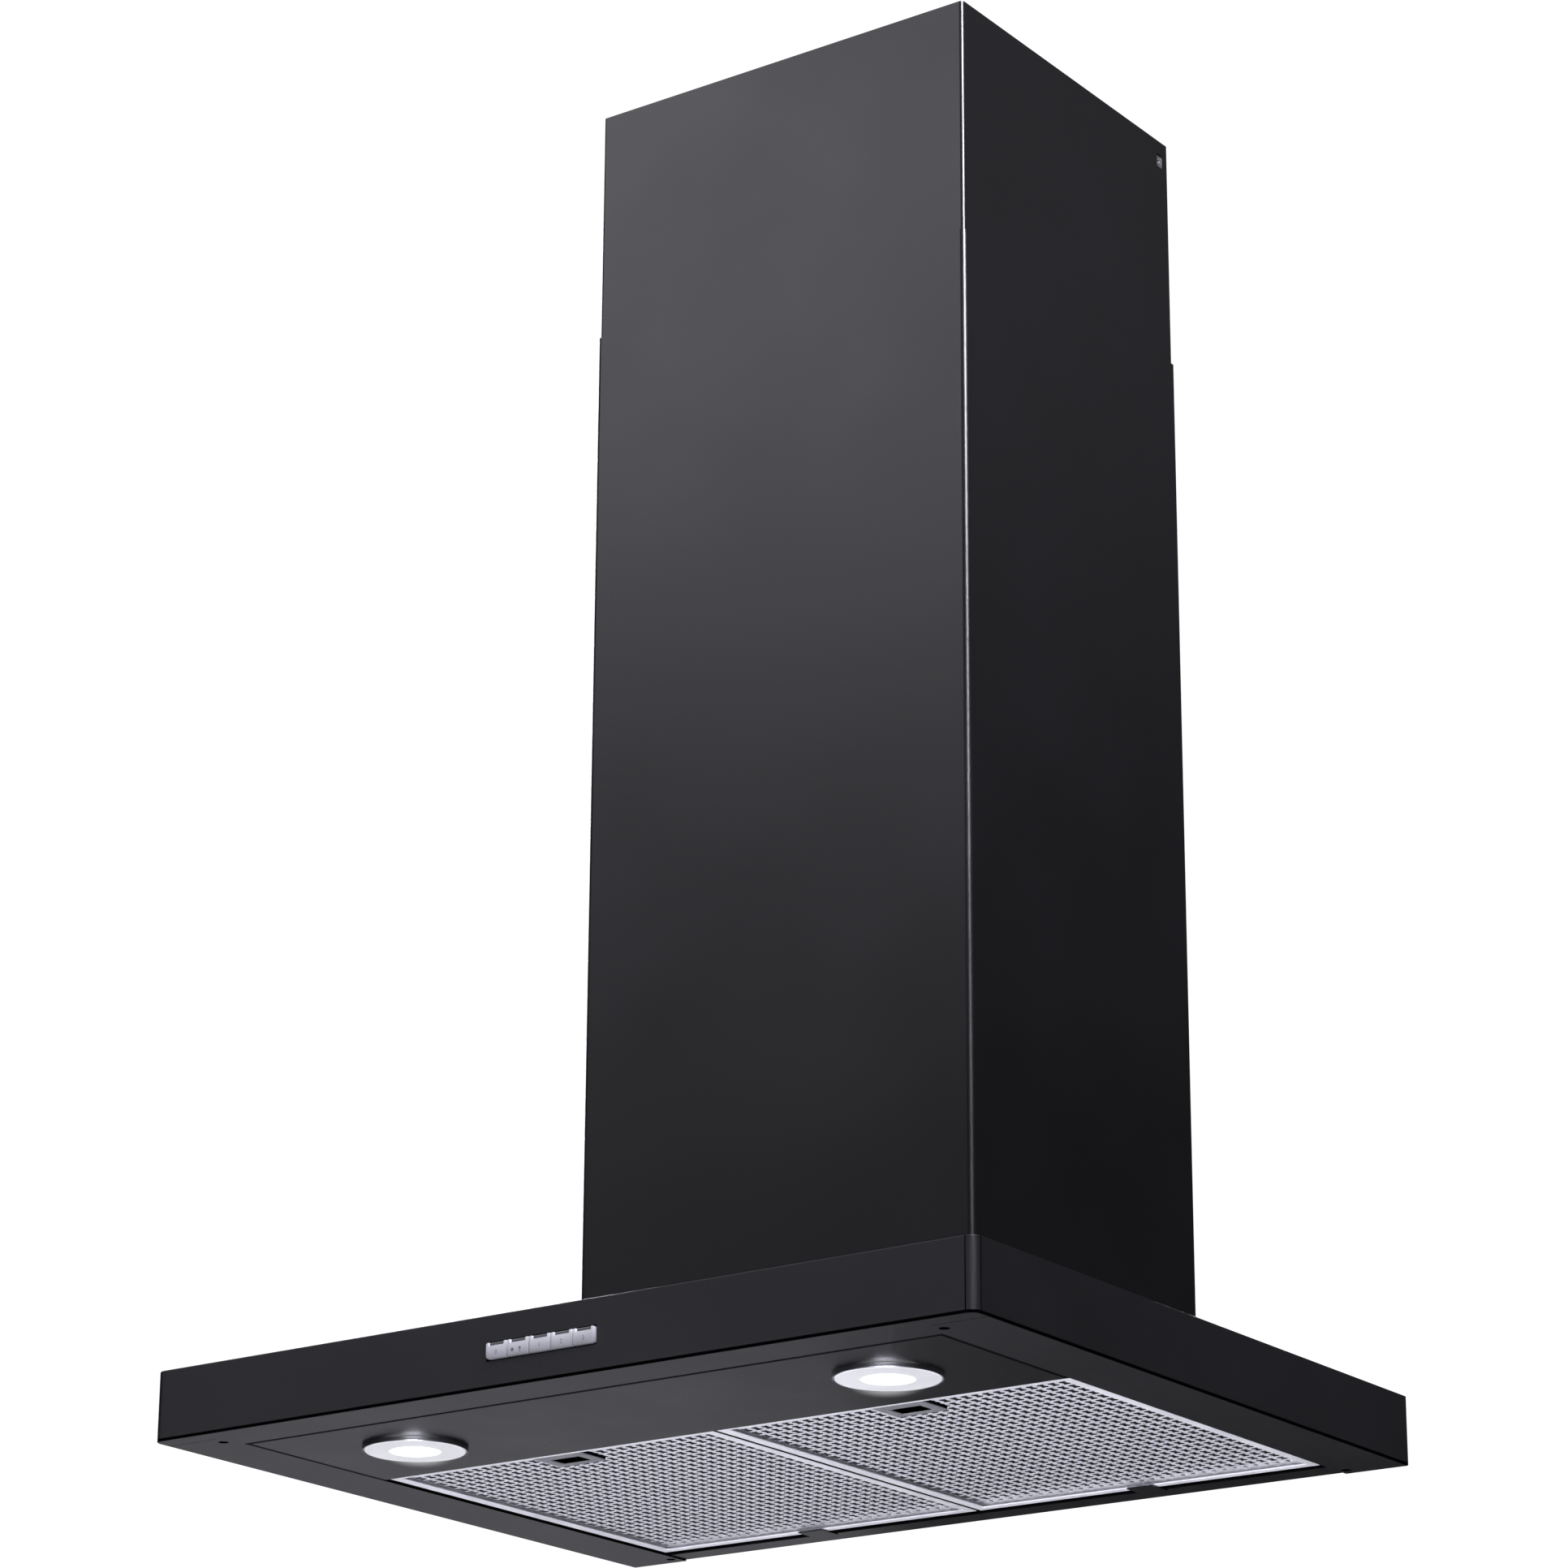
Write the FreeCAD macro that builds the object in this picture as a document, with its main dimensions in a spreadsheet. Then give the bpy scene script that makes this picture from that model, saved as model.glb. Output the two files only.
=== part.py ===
# A 60 cm wall hood with a box canopy and a two-part telescopic chimney.
# Frame: origin on the wall plane below the middle of the canopy, at the level of its underside.
# +X to the right seen from the front, +Y towards the wall, +Z up. Millimetres.
import FreeCAD, Part
import os
import re
import Sketcher
from FreeCAD import Placement, Rotation, Vector

doc = FreeCAD.newDocument("wall_hood")

# ---------------------------------------------------------------- driving dimensions
DIMENSIONS = {
    "canopy_width": 600,
    "canopy_depth": 488,
    "canopy_height": 44,
    "canopy_corner": 6.3,
    "canopy_fold": 0.8,
    "canopy_sheet": 1.0,
    "side_rim": 44,
    "front_rim": 34,
    "rim_slit_setback": 14,
    "rim_slit_length": 38,
    "rim_slit_width": 0.5,
    "rim_hole_radius": 3.2,
    "front_hole_inset": 36,
    "front_hole_setback": 24,
    "rear_hole_inset": 38.5,
    "rear_hole_gap": 10,
    "seam": 0.5,
    "panel_depth": 131.3,
    "panel_flange": 14,
    "panel_wing": 14,
    "lamp_spacing": 350,
    "lamp_setback": 99.5,
    "lamp_radius": 32.5,
    "lamp_drop": 3.0,
    "lamp_wall": 1.2,
    "lamp_collar_radius": 27.7,
    "lamp_collar_height": 12,
    "lens_thick": 2.2,
    "lens_edge": 0.9,
    "lamp_module_height": 16,
    "rail_depth": 17,
    "rail_flange": 12,
    "tab_width": 19,
    "tab_reach": 9,
    "tab_sheet": 0.8,
    "filter_gap": 3.6,
    "filter_side_gap": 3.0,
    "filter_depth": 293.6,
    "filter_height": 9,
    "filter_lift": 1.1,
    "filter_sheet": 0.8,
    "filter_lip": 6.0,
    "filter_front_gap": 1.0,
    "mesh_recess": 3.6,
    "mesh_thick": 4.2,
    "latch_width": 35,
    "latch_depth": 33,
    "latch_recess": 1.2,
    "latch_sheet": 0.8,
    "latch_wall": 0.8,
    "latch_window_width": 23.2,
    "latch_window_depth": 29,
    "handle_depth": 13,
    "slider_width": 30,
    "slider_thick": 1.0,
    "tongue_width": 16,
    "tongue_reach": 5,
    "button_count": 5,
    "button_pitch": 16,
    "button_width": 15.2,
    "button_height": 10,
    "button_middle": 22,
    "button_proud": 2.0,
    "button_skirt": 4.5,
    "button_edge": 0.9,
    "button_stem": 4,
    "button_travel": 2.5,
    "switch_gap": 0.6,
    "switch_width": 12,
    "switch_height": 9,
    "switch_depth": 6.5,
    "board_thick": 1.6,
    "housing_wall": 1.5,
    "housing_margin": 3,
    "chimney_width": 300,
    "chimney_depth": 260.5,
    "chimney_corner": 4.0,
    "chimney_sheet": 0.8,
    "lower_height": 741.6,
    "chimney_return": 12,
    "slide_gap": 0.3,
    "upper_shown": 167,
    "upper_length": 430,
    "slot_width": 6.5,
    "slot_height": 10,
    "slot_gap": 7.5,
    "slot_drop": 10,
    "bracket_height": 26,
    "bracket_sheet": 1.5,
    "bracket_ear": 24,
    "thread_radius": 1.65,
    "box_width": 260,
    "box_depth": 240,
    "box_height": 260,
    "box_sheet": 1.0,
    "box_flange": 10,
    "cutout_margin": 9,
    "hook_spacing": 180,
    "hook_radius": 4,
    "hook_height": 270,
    "wall_screw_spacing": 440,
    "wall_screw_radius": 3,
    "wall_screw_height": 24,
    "scroll_width": 144,
    "scroll_radius": 93,
    "scroll_wall": 2.0,
    "scroll_middle_gap": 112,
    "scroll_middle_height": 150,
    "scroll_throat": 145,
    "inlet_radius": 58,
    "impeller_radius": 70,
    "impeller_width": 120,
    "impeller_ring": 4,
    "blade_count": 36,
    "blade_thick": 1.0,
    "blade_depth": 11,
    "hub_radius": 11,
    "hub_length": 22,
    "web_thick": 2,
    "shaft_radius": 4,
    "shaft_gap": 0.05,
    "motor_radius": 44,
    "motor_length": 62,
    "arm_sheet": 2,
    "arm_width": 14,
    "arm_reach": 75,
    "arm_screw_place": 68,
    "screw_radius": 2,
    "screw_gap": 0.1,
    "head_radius": 4,
    "head_height": 2.4,
    "capacitor_radius": 14,
    "capacitor_length": 52,
    "clip_thick": 1.5,
    "clip_height": 12,
    "terminal_length": 70,
    "terminal_height": 50,
    "terminal_depth": 26,
    "terminal_wall": 2,
    "cover_thick": 2,
    "gland_radius": 8,
    "gland_bore": 4.5,
    "gland_flange": 11,
    "collar_radius": 74.5,
    "collar_wall": 2.0,
    "collar_height": 48,
    "collar_flange": 88,
    "collar_flange_thick": 2.5,
    "outlet_radius": 70,
    "damper_height": 18,
    "damper_thick": 1.2,
    "damper_gap": 1.0,
    "pin_radius": 1.5,
    "knuckle_radius": 3.0,
    "knuckle_length": 36,
    "driver_length": 70,
    "driver_depth": 30,
    "driver_height": 18,
}

sizes = doc.addObject("Spreadsheet::Sheet", "sizes")
for row, (alias, value) in enumerate(DIMENSIONS.items(), 1):
    sizes.set(f"A{row}", alias.replace("_", " "))
    sizes.set(f"B{row}", str(value))
    sizes.setAlias(f"B{row}", alias)
doc.recompute()


def formula(text):
    """Point every dimension named in a formula at its cell of the sheet."""
    text = str(text)
    return re.sub(r"[a-z]+(?:_[a-z]+)*", lambda word: named(word.group()), text)


def named(word):
    return f"sizes.{word}" if word in DIMENSIONS else word


def bind(thing, prop, text):
    thing.setExpression(prop, formula(text))


def place(thing, x, y, z, turn=None):
    """Bind a placement to formulas, after an optional fixed turn."""
    if turn:
        thing.Placement = Placement(Vector(), turn)
    bind(thing, "Placement.Base.x", x)
    bind(thing, "Placement.Base.y", y)
    bind(thing, "Placement.Base.z", z)
    return thing


# ---------------------------------------------------------------- primitives and booleans
ALONG = {
    "X": Rotation(Vector(0, 1, 0), 90),
    "Y": Rotation(Vector(1, 0, 0), -90),
    "Z": Rotation(),
}


def block(x, y, z, label="block"):
    """A box between two formulas on each axis."""
    thing = doc.addObject("Part::Box", label)
    for prop, (low, high) in zip(("Length", "Width", "Height"), (x, y, z)):
        bind(thing, prop, f"({high}) - ({low})")
    return place(thing, x[0], y[0], z[0])


def rod(radius, start, length, axis="Z", label="rod"):
    """A cylinder that starts at a point and runs along an axis."""
    thing = doc.addObject("Part::Cylinder", label)
    bind(thing, "Radius", radius)
    bind(thing, "Height", length)
    return place(thing, *start, turn=ALONG[axis])


def fuse(*pieces, label="fusion"):
    thing = doc.addObject("Part::MultiFuse", label)
    thing.Shapes = list(pieces)
    return thing


def group(*pieces, label="group"):
    """Separate solids that share one node."""
    thing = doc.addObject("Part::Compound", label)
    thing.Links = list(pieces)
    return thing


def cut(base, *tools, label="cut"):
    thing = doc.addObject("Part::Cut", label)
    thing.Base = base
    thing.Tool = tools[0] if len(tools) == 1 else fuse(*tools)
    return thing


def tube(outer, inner, start, length, axis="Z", label="tube"):
    return cut(rod(outer, start, length, axis), rod(inner, start, length, axis), label=label)


def screw(x, y, z, reach, axis="Z", label="screw"):
    """A pan-head screw seated at a point, its shank running back along the axis."""
    shank = {"X": (f"{x} - ({reach})", y, z), "Z": (x, y, f"{z} - ({reach})")}[axis]
    return fuse(
        rod("screw_radius", shank, reach, axis),
        rod("head_radius", (x, y, z), "head_height", axis),
        label=label,
    )


# ---------------------------------------------------------------- bodies with sketches
def new_body(label):
    return doc.addObject("PartDesign::Body", label)


def sketch_on(body, role, u=0, v=0, lift=0):
    """A sketch on an origin plane of the body, moved by formulas."""
    sketch = body.newObject("Sketcher::SketchObject", "sketch")
    plane = next(item for item in body.Origin.OriginFeatures if item.Role == role)
    sketch.AttachmentSupport = [(plane, "")]
    sketch.MapMode = "FlatFace"
    for prop, text in zip("xyz", (u, v, lift)):
        bind(sketch, f"AttachmentOffset.Base.{prop}", text)
    return sketch


def rectangle(sketch, width, height):
    """A rectangle with its low corner on the sketch's origin."""
    corners = [Vector(0, 0, 0), Vector(9, 0, 0), Vector(9, 9, 0), Vector(0, 9, 0)]
    for number, corner in enumerate(corners):
        sketch.addGeometry(Part.LineSegment(corner, corners[(number + 1) % 4]), False)
    rules = [Sketcher.Constraint("Coincident", n, 2, (n + 1) % 4, 1) for n in range(4)]
    rules += [Sketcher.Constraint("Horizontal", n) for n in (0, 2)]
    rules += [Sketcher.Constraint("Vertical", n) for n in (1, 3)]
    rules.append(Sketcher.Constraint("Coincident", 0, 1, -1, 1))
    sketch.addConstraint(rules)
    wide = sketch.addConstraint(Sketcher.Constraint("DistanceX", 0, 1, 0, 2, 9))
    tall = sketch.addConstraint(Sketcher.Constraint("DistanceY", 1, 1, 1, 2, 9))
    bind(sketch, f"Constraints[{wide}]", width)
    bind(sketch, f"Constraints[{tall}]", height)
    return sketch


def outline(sketch, points):
    """A closed outline through (u, v) formulas, each corner measured from the sketch's origin."""
    count = len(points)
    rough = [Vector(number % 3 + 1, number + 1, 0) for number in range(count)]
    for number in range(count):
        sketch.addGeometry(Part.LineSegment(rough[number], rough[(number + 1) % count]), False)
    for number in range(count):
        join = Sketcher.Constraint("Coincident", number, 2, (number + 1) % count, 1)
        sketch.addConstraint(join)
    for number, point in enumerate(points):
        for kind, text in zip(("DistanceX", "DistanceY"), point):
            rule = Sketcher.Constraint(kind, -1, 1, number, 1, 1.0)
            bind(sketch, f"Constraints[{sketch.addConstraint(rule)}]", text)
    return sketch


def extrude(body, sketch, length, kind="PartDesign::Pad"):
    feature = body.newObject(kind, "extrusion")
    feature.Profile = sketch
    bind(feature, "Length", length)
    sketch.Visibility = False
    return feature


def revolve(body, sketch):
    feature = body.newObject("PartDesign::Revolution", "revolution")
    feature.Profile = sketch
    feature.ReferenceAxis = (sketch, ["V_Axis"])
    feature.Angle = 360
    return feature


def round_edges(body, feature, radius, chosen):
    """Round the edges of a feature that a test picks."""
    doc.recompute()
    edges = feature.Shape.Edges
    names = [f"Edge{n}" for n, edge in enumerate(edges, 1) if chosen(edge.BoundBox)]
    rounded = body.newObject("PartDesign::Fillet", "rounding")
    rounded.Base = (feature, names)
    bind(rounded, "Radius", radius)
    return rounded


def upright(box):
    return box.ZLength > 1 and box.XLength < 0.01 and box.YLength < 0.01


def rounded_block(label, half, front, rear, low, high, corner, fold=None):
    """A block with rounded front corners and, where stated, rounded folds along its ends."""
    body = new_body(label)
    base = sketch_on(body, "XY_Plane", f"-({half})", front, low)
    rectangle(base, f"2 * ({half})", f"({rear}) - ({front})")
    solid = extrude(body, base, f"({high}) - ({low})")
    doc.recompute()
    ends = solid.Shape.BoundBox
    solid = round_edges(body, solid, corner, lambda box: upright(box) and box.YMin < ends.YMin + 1)
    if fold:
        round_edges(
            body,
            solid,
            fold,
            lambda box: box.ZLength < 0.01
            and (box.ZMin < ends.ZMin + 0.01 or box.ZMin > ends.ZMax - 0.01)
            and box.YMin < ends.YMax - 0.01,
        )
    return body


def box_shell(label, half, front, rear, low, high, corner, sheet, floor=0, lid=0, fold=None):
    """A folded sheet box with a hollow between its floor and its lid."""
    outer = rounded_block(label, half, front, rear, low, high, corner, fold)
    inner = rounded_block(
        f"{label}_hollow",
        f"({half}) - {sheet}",
        f"({front}) + {sheet}",
        f"({rear}) - {sheet}",
        f"({low}) + {floor}",
        f"({high}) - {lid}",
        f"{corner} - {sheet}",
    )
    return cut(outer, inner)


# ---------------------------------------------------------------- places shared by the pieces
FRONT = "-canopy_depth"
CEILING = "canopy_height - canopy_sheet"
RIM = "canopy_width / 2 - side_rim"
FRONT_RIM_END = "-canopy_depth + front_rim"
PANEL_FRONT = f"{FRONT_RIM_END} + seam"
PANEL_REAR = f"{PANEL_FRONT} + panel_depth"
FILTER_FRONT = f"{PANEL_REAR} + filter_front_gap"
FILTER_REAR = f"{FILTER_FRONT} + filter_depth"
FILTER_TOP = "filter_lift + filter_height"
FILTER_WIDTH = f"({RIM} - filter_side_gap - filter_gap / 2)"
MESH_LOW = "filter_lift + mesh_recess"
CHIMNEY_FRONT = "-chimney_depth"
LOWER_TOP = "canopy_height + lower_height"
UPPER_TOP = f"{LOWER_TOP} + upper_shown"
UPPER_HALF = "(chimney_width / 2 - chimney_sheet - slide_gap)"
BOX_TOP = "canopy_height + box_height"
AXIS_Y = "-scroll_middle_gap"
AXIS_Z = "scroll_middle_height"
OUTLET_Y = "-(scroll_middle_gap + scroll_radius - scroll_throat / 2)"

nodes = []


def node(label, thing):
    """Name a finished sub-part after the file it is written to."""
    thing.Label = label
    nodes.append((label, thing))
    return thing


# ---------------------------------------------------------------- canopy
def hole_pair(inset, y, low, high, radius):
    """Two upright holes, one near each side of the canopy."""
    height = f"({high}) - ({low})"
    return [
        rod(radius, (f"{side} * (canopy_width / 2 - {inset})", y, low), height) for side in (-1, 1)
    ]


def canopy_shell():
    """Folded sheet box, open below, with rims that carry the lamp panel, rail and filters."""
    shell = box_shell(
        "canopy_box",
        "canopy_width / 2",
        FRONT,
        "0",
        "0",
        "canopy_height",
        "canopy_corner",
        "canopy_sheet",
        floor="canopy_sheet",
        lid="canopy_sheet",
        fold="canopy_fold",
    )
    mouth = block((f"-({RIM})", RIM), (FRONT_RIM_END, "1"), ("-1", "canopy_sheet"))
    cutout = block(
        ("-box_width / 2 + cutout_margin", "box_width / 2 - cutout_margin"),
        ("-box_depth + cutout_margin", "-cutout_margin"),
        (f"{CEILING} - 1", "canopy_height + 1"),
    )
    buttons = block(
        ("-button_count * button_pitch / 2 - slide_gap", "button_count * button_pitch / 2 + slide_gap"),
        (f"{FRONT} - 1", f"{FRONT} + canopy_sheet + 1"),
        (
            "button_middle - button_height / 2 - slide_gap",
            "button_middle + button_height / 2 + slide_gap",
        ),
    )
    slits = []
    for side in (-1, 1):
        inner = "canopy_width / 2 - rim_slit_length"
        outer = "canopy_width / 2 - canopy_sheet"
        span = (inner, outer) if side > 0 else (f"-({outer})", f"-({inner})")
        setback = f"{FRONT} + rim_slit_setback"
        slits.append(block(span, (setback, f"{setback} + rim_slit_width"), ("-1", "canopy_sheet + 1")))
    front_holes = hole_pair(
        "front_hole_inset", f"{FRONT} + front_hole_setback", "-1", "canopy_sheet + 1", "rim_hole_radius"
    )
    rear_holes = hole_pair(
        "rear_hole_inset", "-rear_hole_gap", "-1", "canopy_sheet + 1", "rim_hole_radius"
    )
    wall_holes = [
        rod(
            "wall_screw_radius",
            (f"{side} * wall_screw_spacing / 2", "-canopy_sheet - 1", "wall_screw_height"),
            "canopy_sheet + 2",
            "Y",
        )
        for side in (-1, 1)
    ]
    screws = [
        rod("screw_radius + screw_gap", (x, y, f"{CEILING} - 1"), "canopy_sheet + 2")
        for x, y in BOX_SCREWS + CHIMNEY_SCREWS
    ]
    tools = [mouth, cutout, buttons, *slits, *front_holes, *rear_holes, *wall_holes, *screws]
    node("canopy_shell", cut(shell, *tools))


BOX_SCREWS = [
    (f"{side} * (box_width / 2 - box_flange / 2)", y)
    for side in (-1, 1)
    for y in ("-box_depth + 2 * box_flange", "-2 * box_flange")
]
CHIMNEY_SCREWS = [
    (f"{side} * (chimney_width / 2 - chimney_return / 2 - chimney_sheet / 2)", y)
    for side in (-1, 1)
    for y in ("-chimney_depth + 3 * chimney_return", "-4 * chimney_return")
]


def lamp_panel():
    """Pressed panel between the front rim and the filters, with wings that lie on the side rims."""
    edge = f"{RIM} - seam"
    plate = block((f"-({edge})", edge), (PANEL_FRONT, PANEL_REAR), ("0", "canopy_sheet"))
    walls = []
    for low, high in (
        (PANEL_FRONT, f"{PANEL_FRONT} + canopy_sheet"),
        (f"{PANEL_REAR} - canopy_sheet", PANEL_REAR),
    ):
        walls.append(block((f"-({edge})", edge), (low, high), ("0", "panel_flange")))
    for side in (-1, 1):
        near, far, wing = f"{edge} - canopy_sheet", edge, f"{edge} + panel_wing"
        wall = (near, far) if side > 0 else (f"-({far})", f"-({near})")
        flap = (near, wing) if side > 0 else (f"-({wing})", f"-({near})")
        walls.append(block(wall, (PANEL_FRONT, PANEL_REAR), ("0", "panel_flange")))
        walls.append(
            block(
                flap,
                (f"{PANEL_FRONT} + panel_wing", f"{PANEL_REAR} - panel_wing"),
                ("canopy_sheet", "2 * canopy_sheet"),
            )
        )
    holes = [
        rod("lamp_collar_radius + slide_gap", (x, LAMP_Y, "-1"), "canopy_sheet + 2")
        for x in LAMP_X.values()
    ]
    slots = [
        block(
            (f"{x} - tongue_width / 2 - slide_gap", f"{x} + tongue_width / 2 + slide_gap"),
            (f"{PANEL_REAR} - canopy_sheet - 1", f"{PANEL_REAR} + 1"),
            (f"{TONGUE_LOW} - 2 * slide_gap", f"{TONGUE_LOW} + slider_thick + 2 * slide_gap"),
        )
        for x in FILTER_X.values()
    ]
    node("lamp_panel", cut(fuse(plate, *walls), *holes, *slots))


SIDES = {"left": -1, "right": 1}
LAMP_Y = f"{FRONT} + lamp_setback"
LAMP_X = {side: f"{sign} * lamp_spacing / 2" for side, sign in SIDES.items()}
FILTER_X = {side: f"{sign} * ({FILTER_WIDTH} + filter_gap) / 2" for side, sign in SIDES.items()}
PLATE_LOW = "filter_lift + latch_recess"
TONGUE_LOW = f"{PLATE_LOW} + latch_sheet + slide_gap"


def rear_rail():
    """Strip laid over the side rims at the rear, with two joggled tabs under the filters."""
    edge = f"{RIM} + panel_wing"
    low, high = "canopy_sheet", "canopy_sheet + tab_sheet"
    rear = "-canopy_sheet"
    front = f"{rear} - rail_depth"
    strip = block((f"-({edge})", edge), (front, rear), (low, high))
    upstand = block((f"-({edge})", edge), (f"{rear} - tab_sheet", rear), (low, f"{high} + rail_flange"))
    tabs = []
    for x in FILTER_X.values():
        span = (f"{x} - tab_width / 2", f"{x} + tab_width / 2")
        tabs.append(block(span, (f"{front} - tab_sheet", front), ("0", high)))
        tabs.append(block(span, (f"{FILTER_REAR} - tab_reach", front), ("0", "tab_sheet")))
    holes = hole_pair("rear_hole_inset", "-rear_hole_gap", low, f"{high} + 1", "rim_hole_radius")
    node("rear_rail", cut(fuse(strip, upstand, *tabs), *holes))


# ---------------------------------------------------------------- lamps
def lamp_bezel(side):
    """Turned ring with an outer wall below the panel and a collar through it."""
    body = new_body(f"bezel_{side}")
    inner = "lamp_collar_radius - lamp_wall"
    ring = sketch_on(body, "XZ_Plane")
    outline(
        ring,
        [
            (inner, "-lens_edge"),
            ("lamp_radius - lamp_wall", "-lens_edge"),
            ("lamp_radius - lamp_wall", "-lamp_drop"),
            ("lamp_radius", "-lamp_drop"),
            ("lamp_radius", "0"),
            ("lamp_collar_radius", "0"),
            ("lamp_collar_radius", "lamp_collar_height"),
            (inner, "lamp_collar_height"),
        ],
    )
    ring.Visibility = False
    turned = revolve(body, ring)
    round_edges(
        body,
        turned,
        "lamp_wall / 4",
        lambda box: box.ZLength < 0.01 and box.ZMax < -2 and box.XLength > 60,
    )
    place(body, LAMP_X[side], LAMP_Y, "0")
    node(f"lamp_{side}_bezel", body)


def lamp_lens(side):
    """Opal glass disc with a rounded lower edge, held in the bezel's ring."""
    body = new_body(f"lens_{side}")
    disc = sketch_on(body, "XZ_Plane")
    reach = "lamp_radius - lamp_wall - slide_gap"
    outline(
        disc,
        [
            ("0", "-lens_edge - lens_thick"),
            (f"{reach} - lens_edge", "-lens_edge - lens_thick"),
            (reach, "-lens_thick"),
            (reach, "-lens_edge"),
            ("0", "-lens_edge"),
        ],
    )
    revolve(body, disc)
    place(body, LAMP_X[side], LAMP_Y, "0")
    node(f"lamp_{side}_lens", body)


def lamp_module(side):
    """LED board on a finned heat sink that fills the collar."""
    x = LAMP_X[side]
    reach = "lamp_collar_radius - lamp_wall - slide_gap"
    low = "slide_gap - lens_edge"
    board = rod(reach, (x, LAMP_Y, low), "lamp_collar_height / 2")
    core = rod(f"{reach} / 2", (x, LAMP_Y, low), "lamp_module_height")
    fins = [
        rod(reach, (x, LAMP_Y, f"{low} + lamp_collar_height / 2 + {number} * lamp_wall * 2"), "lamp_wall")
        for number in (1, 2, 3)
    ]
    node(f"lamp_{side}_module", fuse(board, core, *fins))


def lamp_clips():
    """Sprung steel angles that pinch the panel behind each bezel."""
    clips = []
    for x in LAMP_X.values():
        for sign in (-1, 1):
            wall = f"{x} + {sign} * (lamp_collar_radius + clip_thick / 4)"
            foot = f"{x} + {sign} * (lamp_collar_radius + clip_thick * 4)"
            low_x, high_x = (wall, foot) if sign > 0 else (foot, wall)
            width = (f"{LAMP_Y} - clip_thick * 3", f"{LAMP_Y} + clip_thick * 3")
            base = block((low_x, high_x), width, ("canopy_sheet", "canopy_sheet + clip_thick / 2"))
            leg_end = f"{wall} + {sign} * clip_thick / 2"
            leg = (wall, leg_end) if sign > 0 else (leg_end, wall)
            rise = block(leg, width, ("canopy_sheet", "lamp_collar_height"))
            clips.append(fuse(base, rise))
    node("lamp_clips", group(*clips))


def led_driver():
    """Sealed supply for the lamps, stuck under the canopy's top."""
    low = f"{CEILING} - driver_height"
    middle = f"{LAMP_Y}"
    body = new_body("driver")
    base = sketch_on(body, "XY_Plane", "-driver_length / 2", f"{middle} - driver_depth / 2", low)
    rectangle(base, "driver_length", "driver_depth")
    solid = extrude(body, base, "driver_height")
    round_edges(body, solid, "terminal_wall", upright)
    node("led_driver", body)


# ---------------------------------------------------------------- push buttons
SKIRT_END = f"{FRONT} + canopy_sheet + button_skirt"
STEM_END = f"{SKIRT_END} + button_travel + button_stem"
SWITCH_FRONT = f"{STEM_END} + button_travel + switch_gap / 2"
SWITCH_REAR = f"{SWITCH_FRONT} + switch_depth"
BOARD_REAR = f"{SWITCH_REAR} + board_thick"


def button_x(number):
    return f"({number} - (button_count - 1) / 2) * button_pitch"


def push_button(number):
    """Moulded cap with a raised rim at its top edge and a stem that works its switch."""
    body = new_body(f"button_{number}")
    cap = sketch_on(
        body,
        "XY_Plane",
        f"{button_x(number)} - button_width / 2",
        f"{FRONT} - button_proud",
        "button_middle - button_height / 2",
    )
    rectangle(cap, "button_width", "button_proud + canopy_sheet + button_skirt")
    solid = extrude(body, cap, "button_height")
    doc.recompute()
    face = solid.Shape.BoundBox.YMin
    solid = round_edges(
        body, solid, "button_edge", lambda box: box.YLength < 0.01 and box.YMin < face + 0.01
    )
    stem = sketch_on(
        body,
        "XY_Plane",
        f"{button_x(number)} - button_stem / 2",
        f"{SKIRT_END} - 1",
        "button_middle - button_stem / 2",
    )
    rectangle(stem, "button_stem", f"{STEM_END} - ({SKIRT_END}) + 1")
    extrude(body, stem, "button_stem")
    node(f"button_{number}", body)


def control_housing():
    """Moulded tray behind the front, open towards the buttons."""
    half = "button_count * button_pitch / 2 + housing_margin"
    rise = "button_height / 2 + housing_margin"
    outer = block(
        (f"-({half}) - housing_wall", f"{half} + housing_wall"),
        (f"{FRONT} + canopy_sheet", f"{BOARD_REAR} + housing_wall"),
        (f"button_middle - ({rise}) - housing_wall", f"button_middle + {rise} + housing_wall"),
    )
    inner = block(
        (f"-({half})", half),
        (FRONT, BOARD_REAR),
        (f"button_middle - ({rise})", f"button_middle + {rise}"),
    )
    lead = rod("gland_bore", (f"{half} / 2", f"{BOARD_REAR} - 1", "button_middle"), "housing_wall + 2", "Y")
    node("control_housing", cut(outer, inner, lead))


def switch_board():
    """Circuit board at the back of the tray."""
    half = "button_count * button_pitch / 2 + housing_margin"
    rise = "button_height / 2 + housing_margin"
    node(
        "switch_board",
        block(
            (f"-({half}) + slide_gap", f"{half} - slide_gap"),
            (SWITCH_REAR, BOARD_REAR),
            (f"button_middle - ({rise}) + slide_gap", f"button_middle + {rise} - slide_gap"),
        ),
    )


def microswitches():
    """One switch behind each button, soldered to the board."""
    switches = [
        block(
            (f"{button_x(number)} - switch_width / 2", f"{button_x(number)} + switch_width / 2"),
            (SWITCH_FRONT, SWITCH_REAR),
            ("button_middle - switch_height / 2", "button_middle + switch_height / 2"),
        )
        for number in range(DIMENSIONS["button_count"])
    ]
    node("microswitches", group(*switches))


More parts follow.
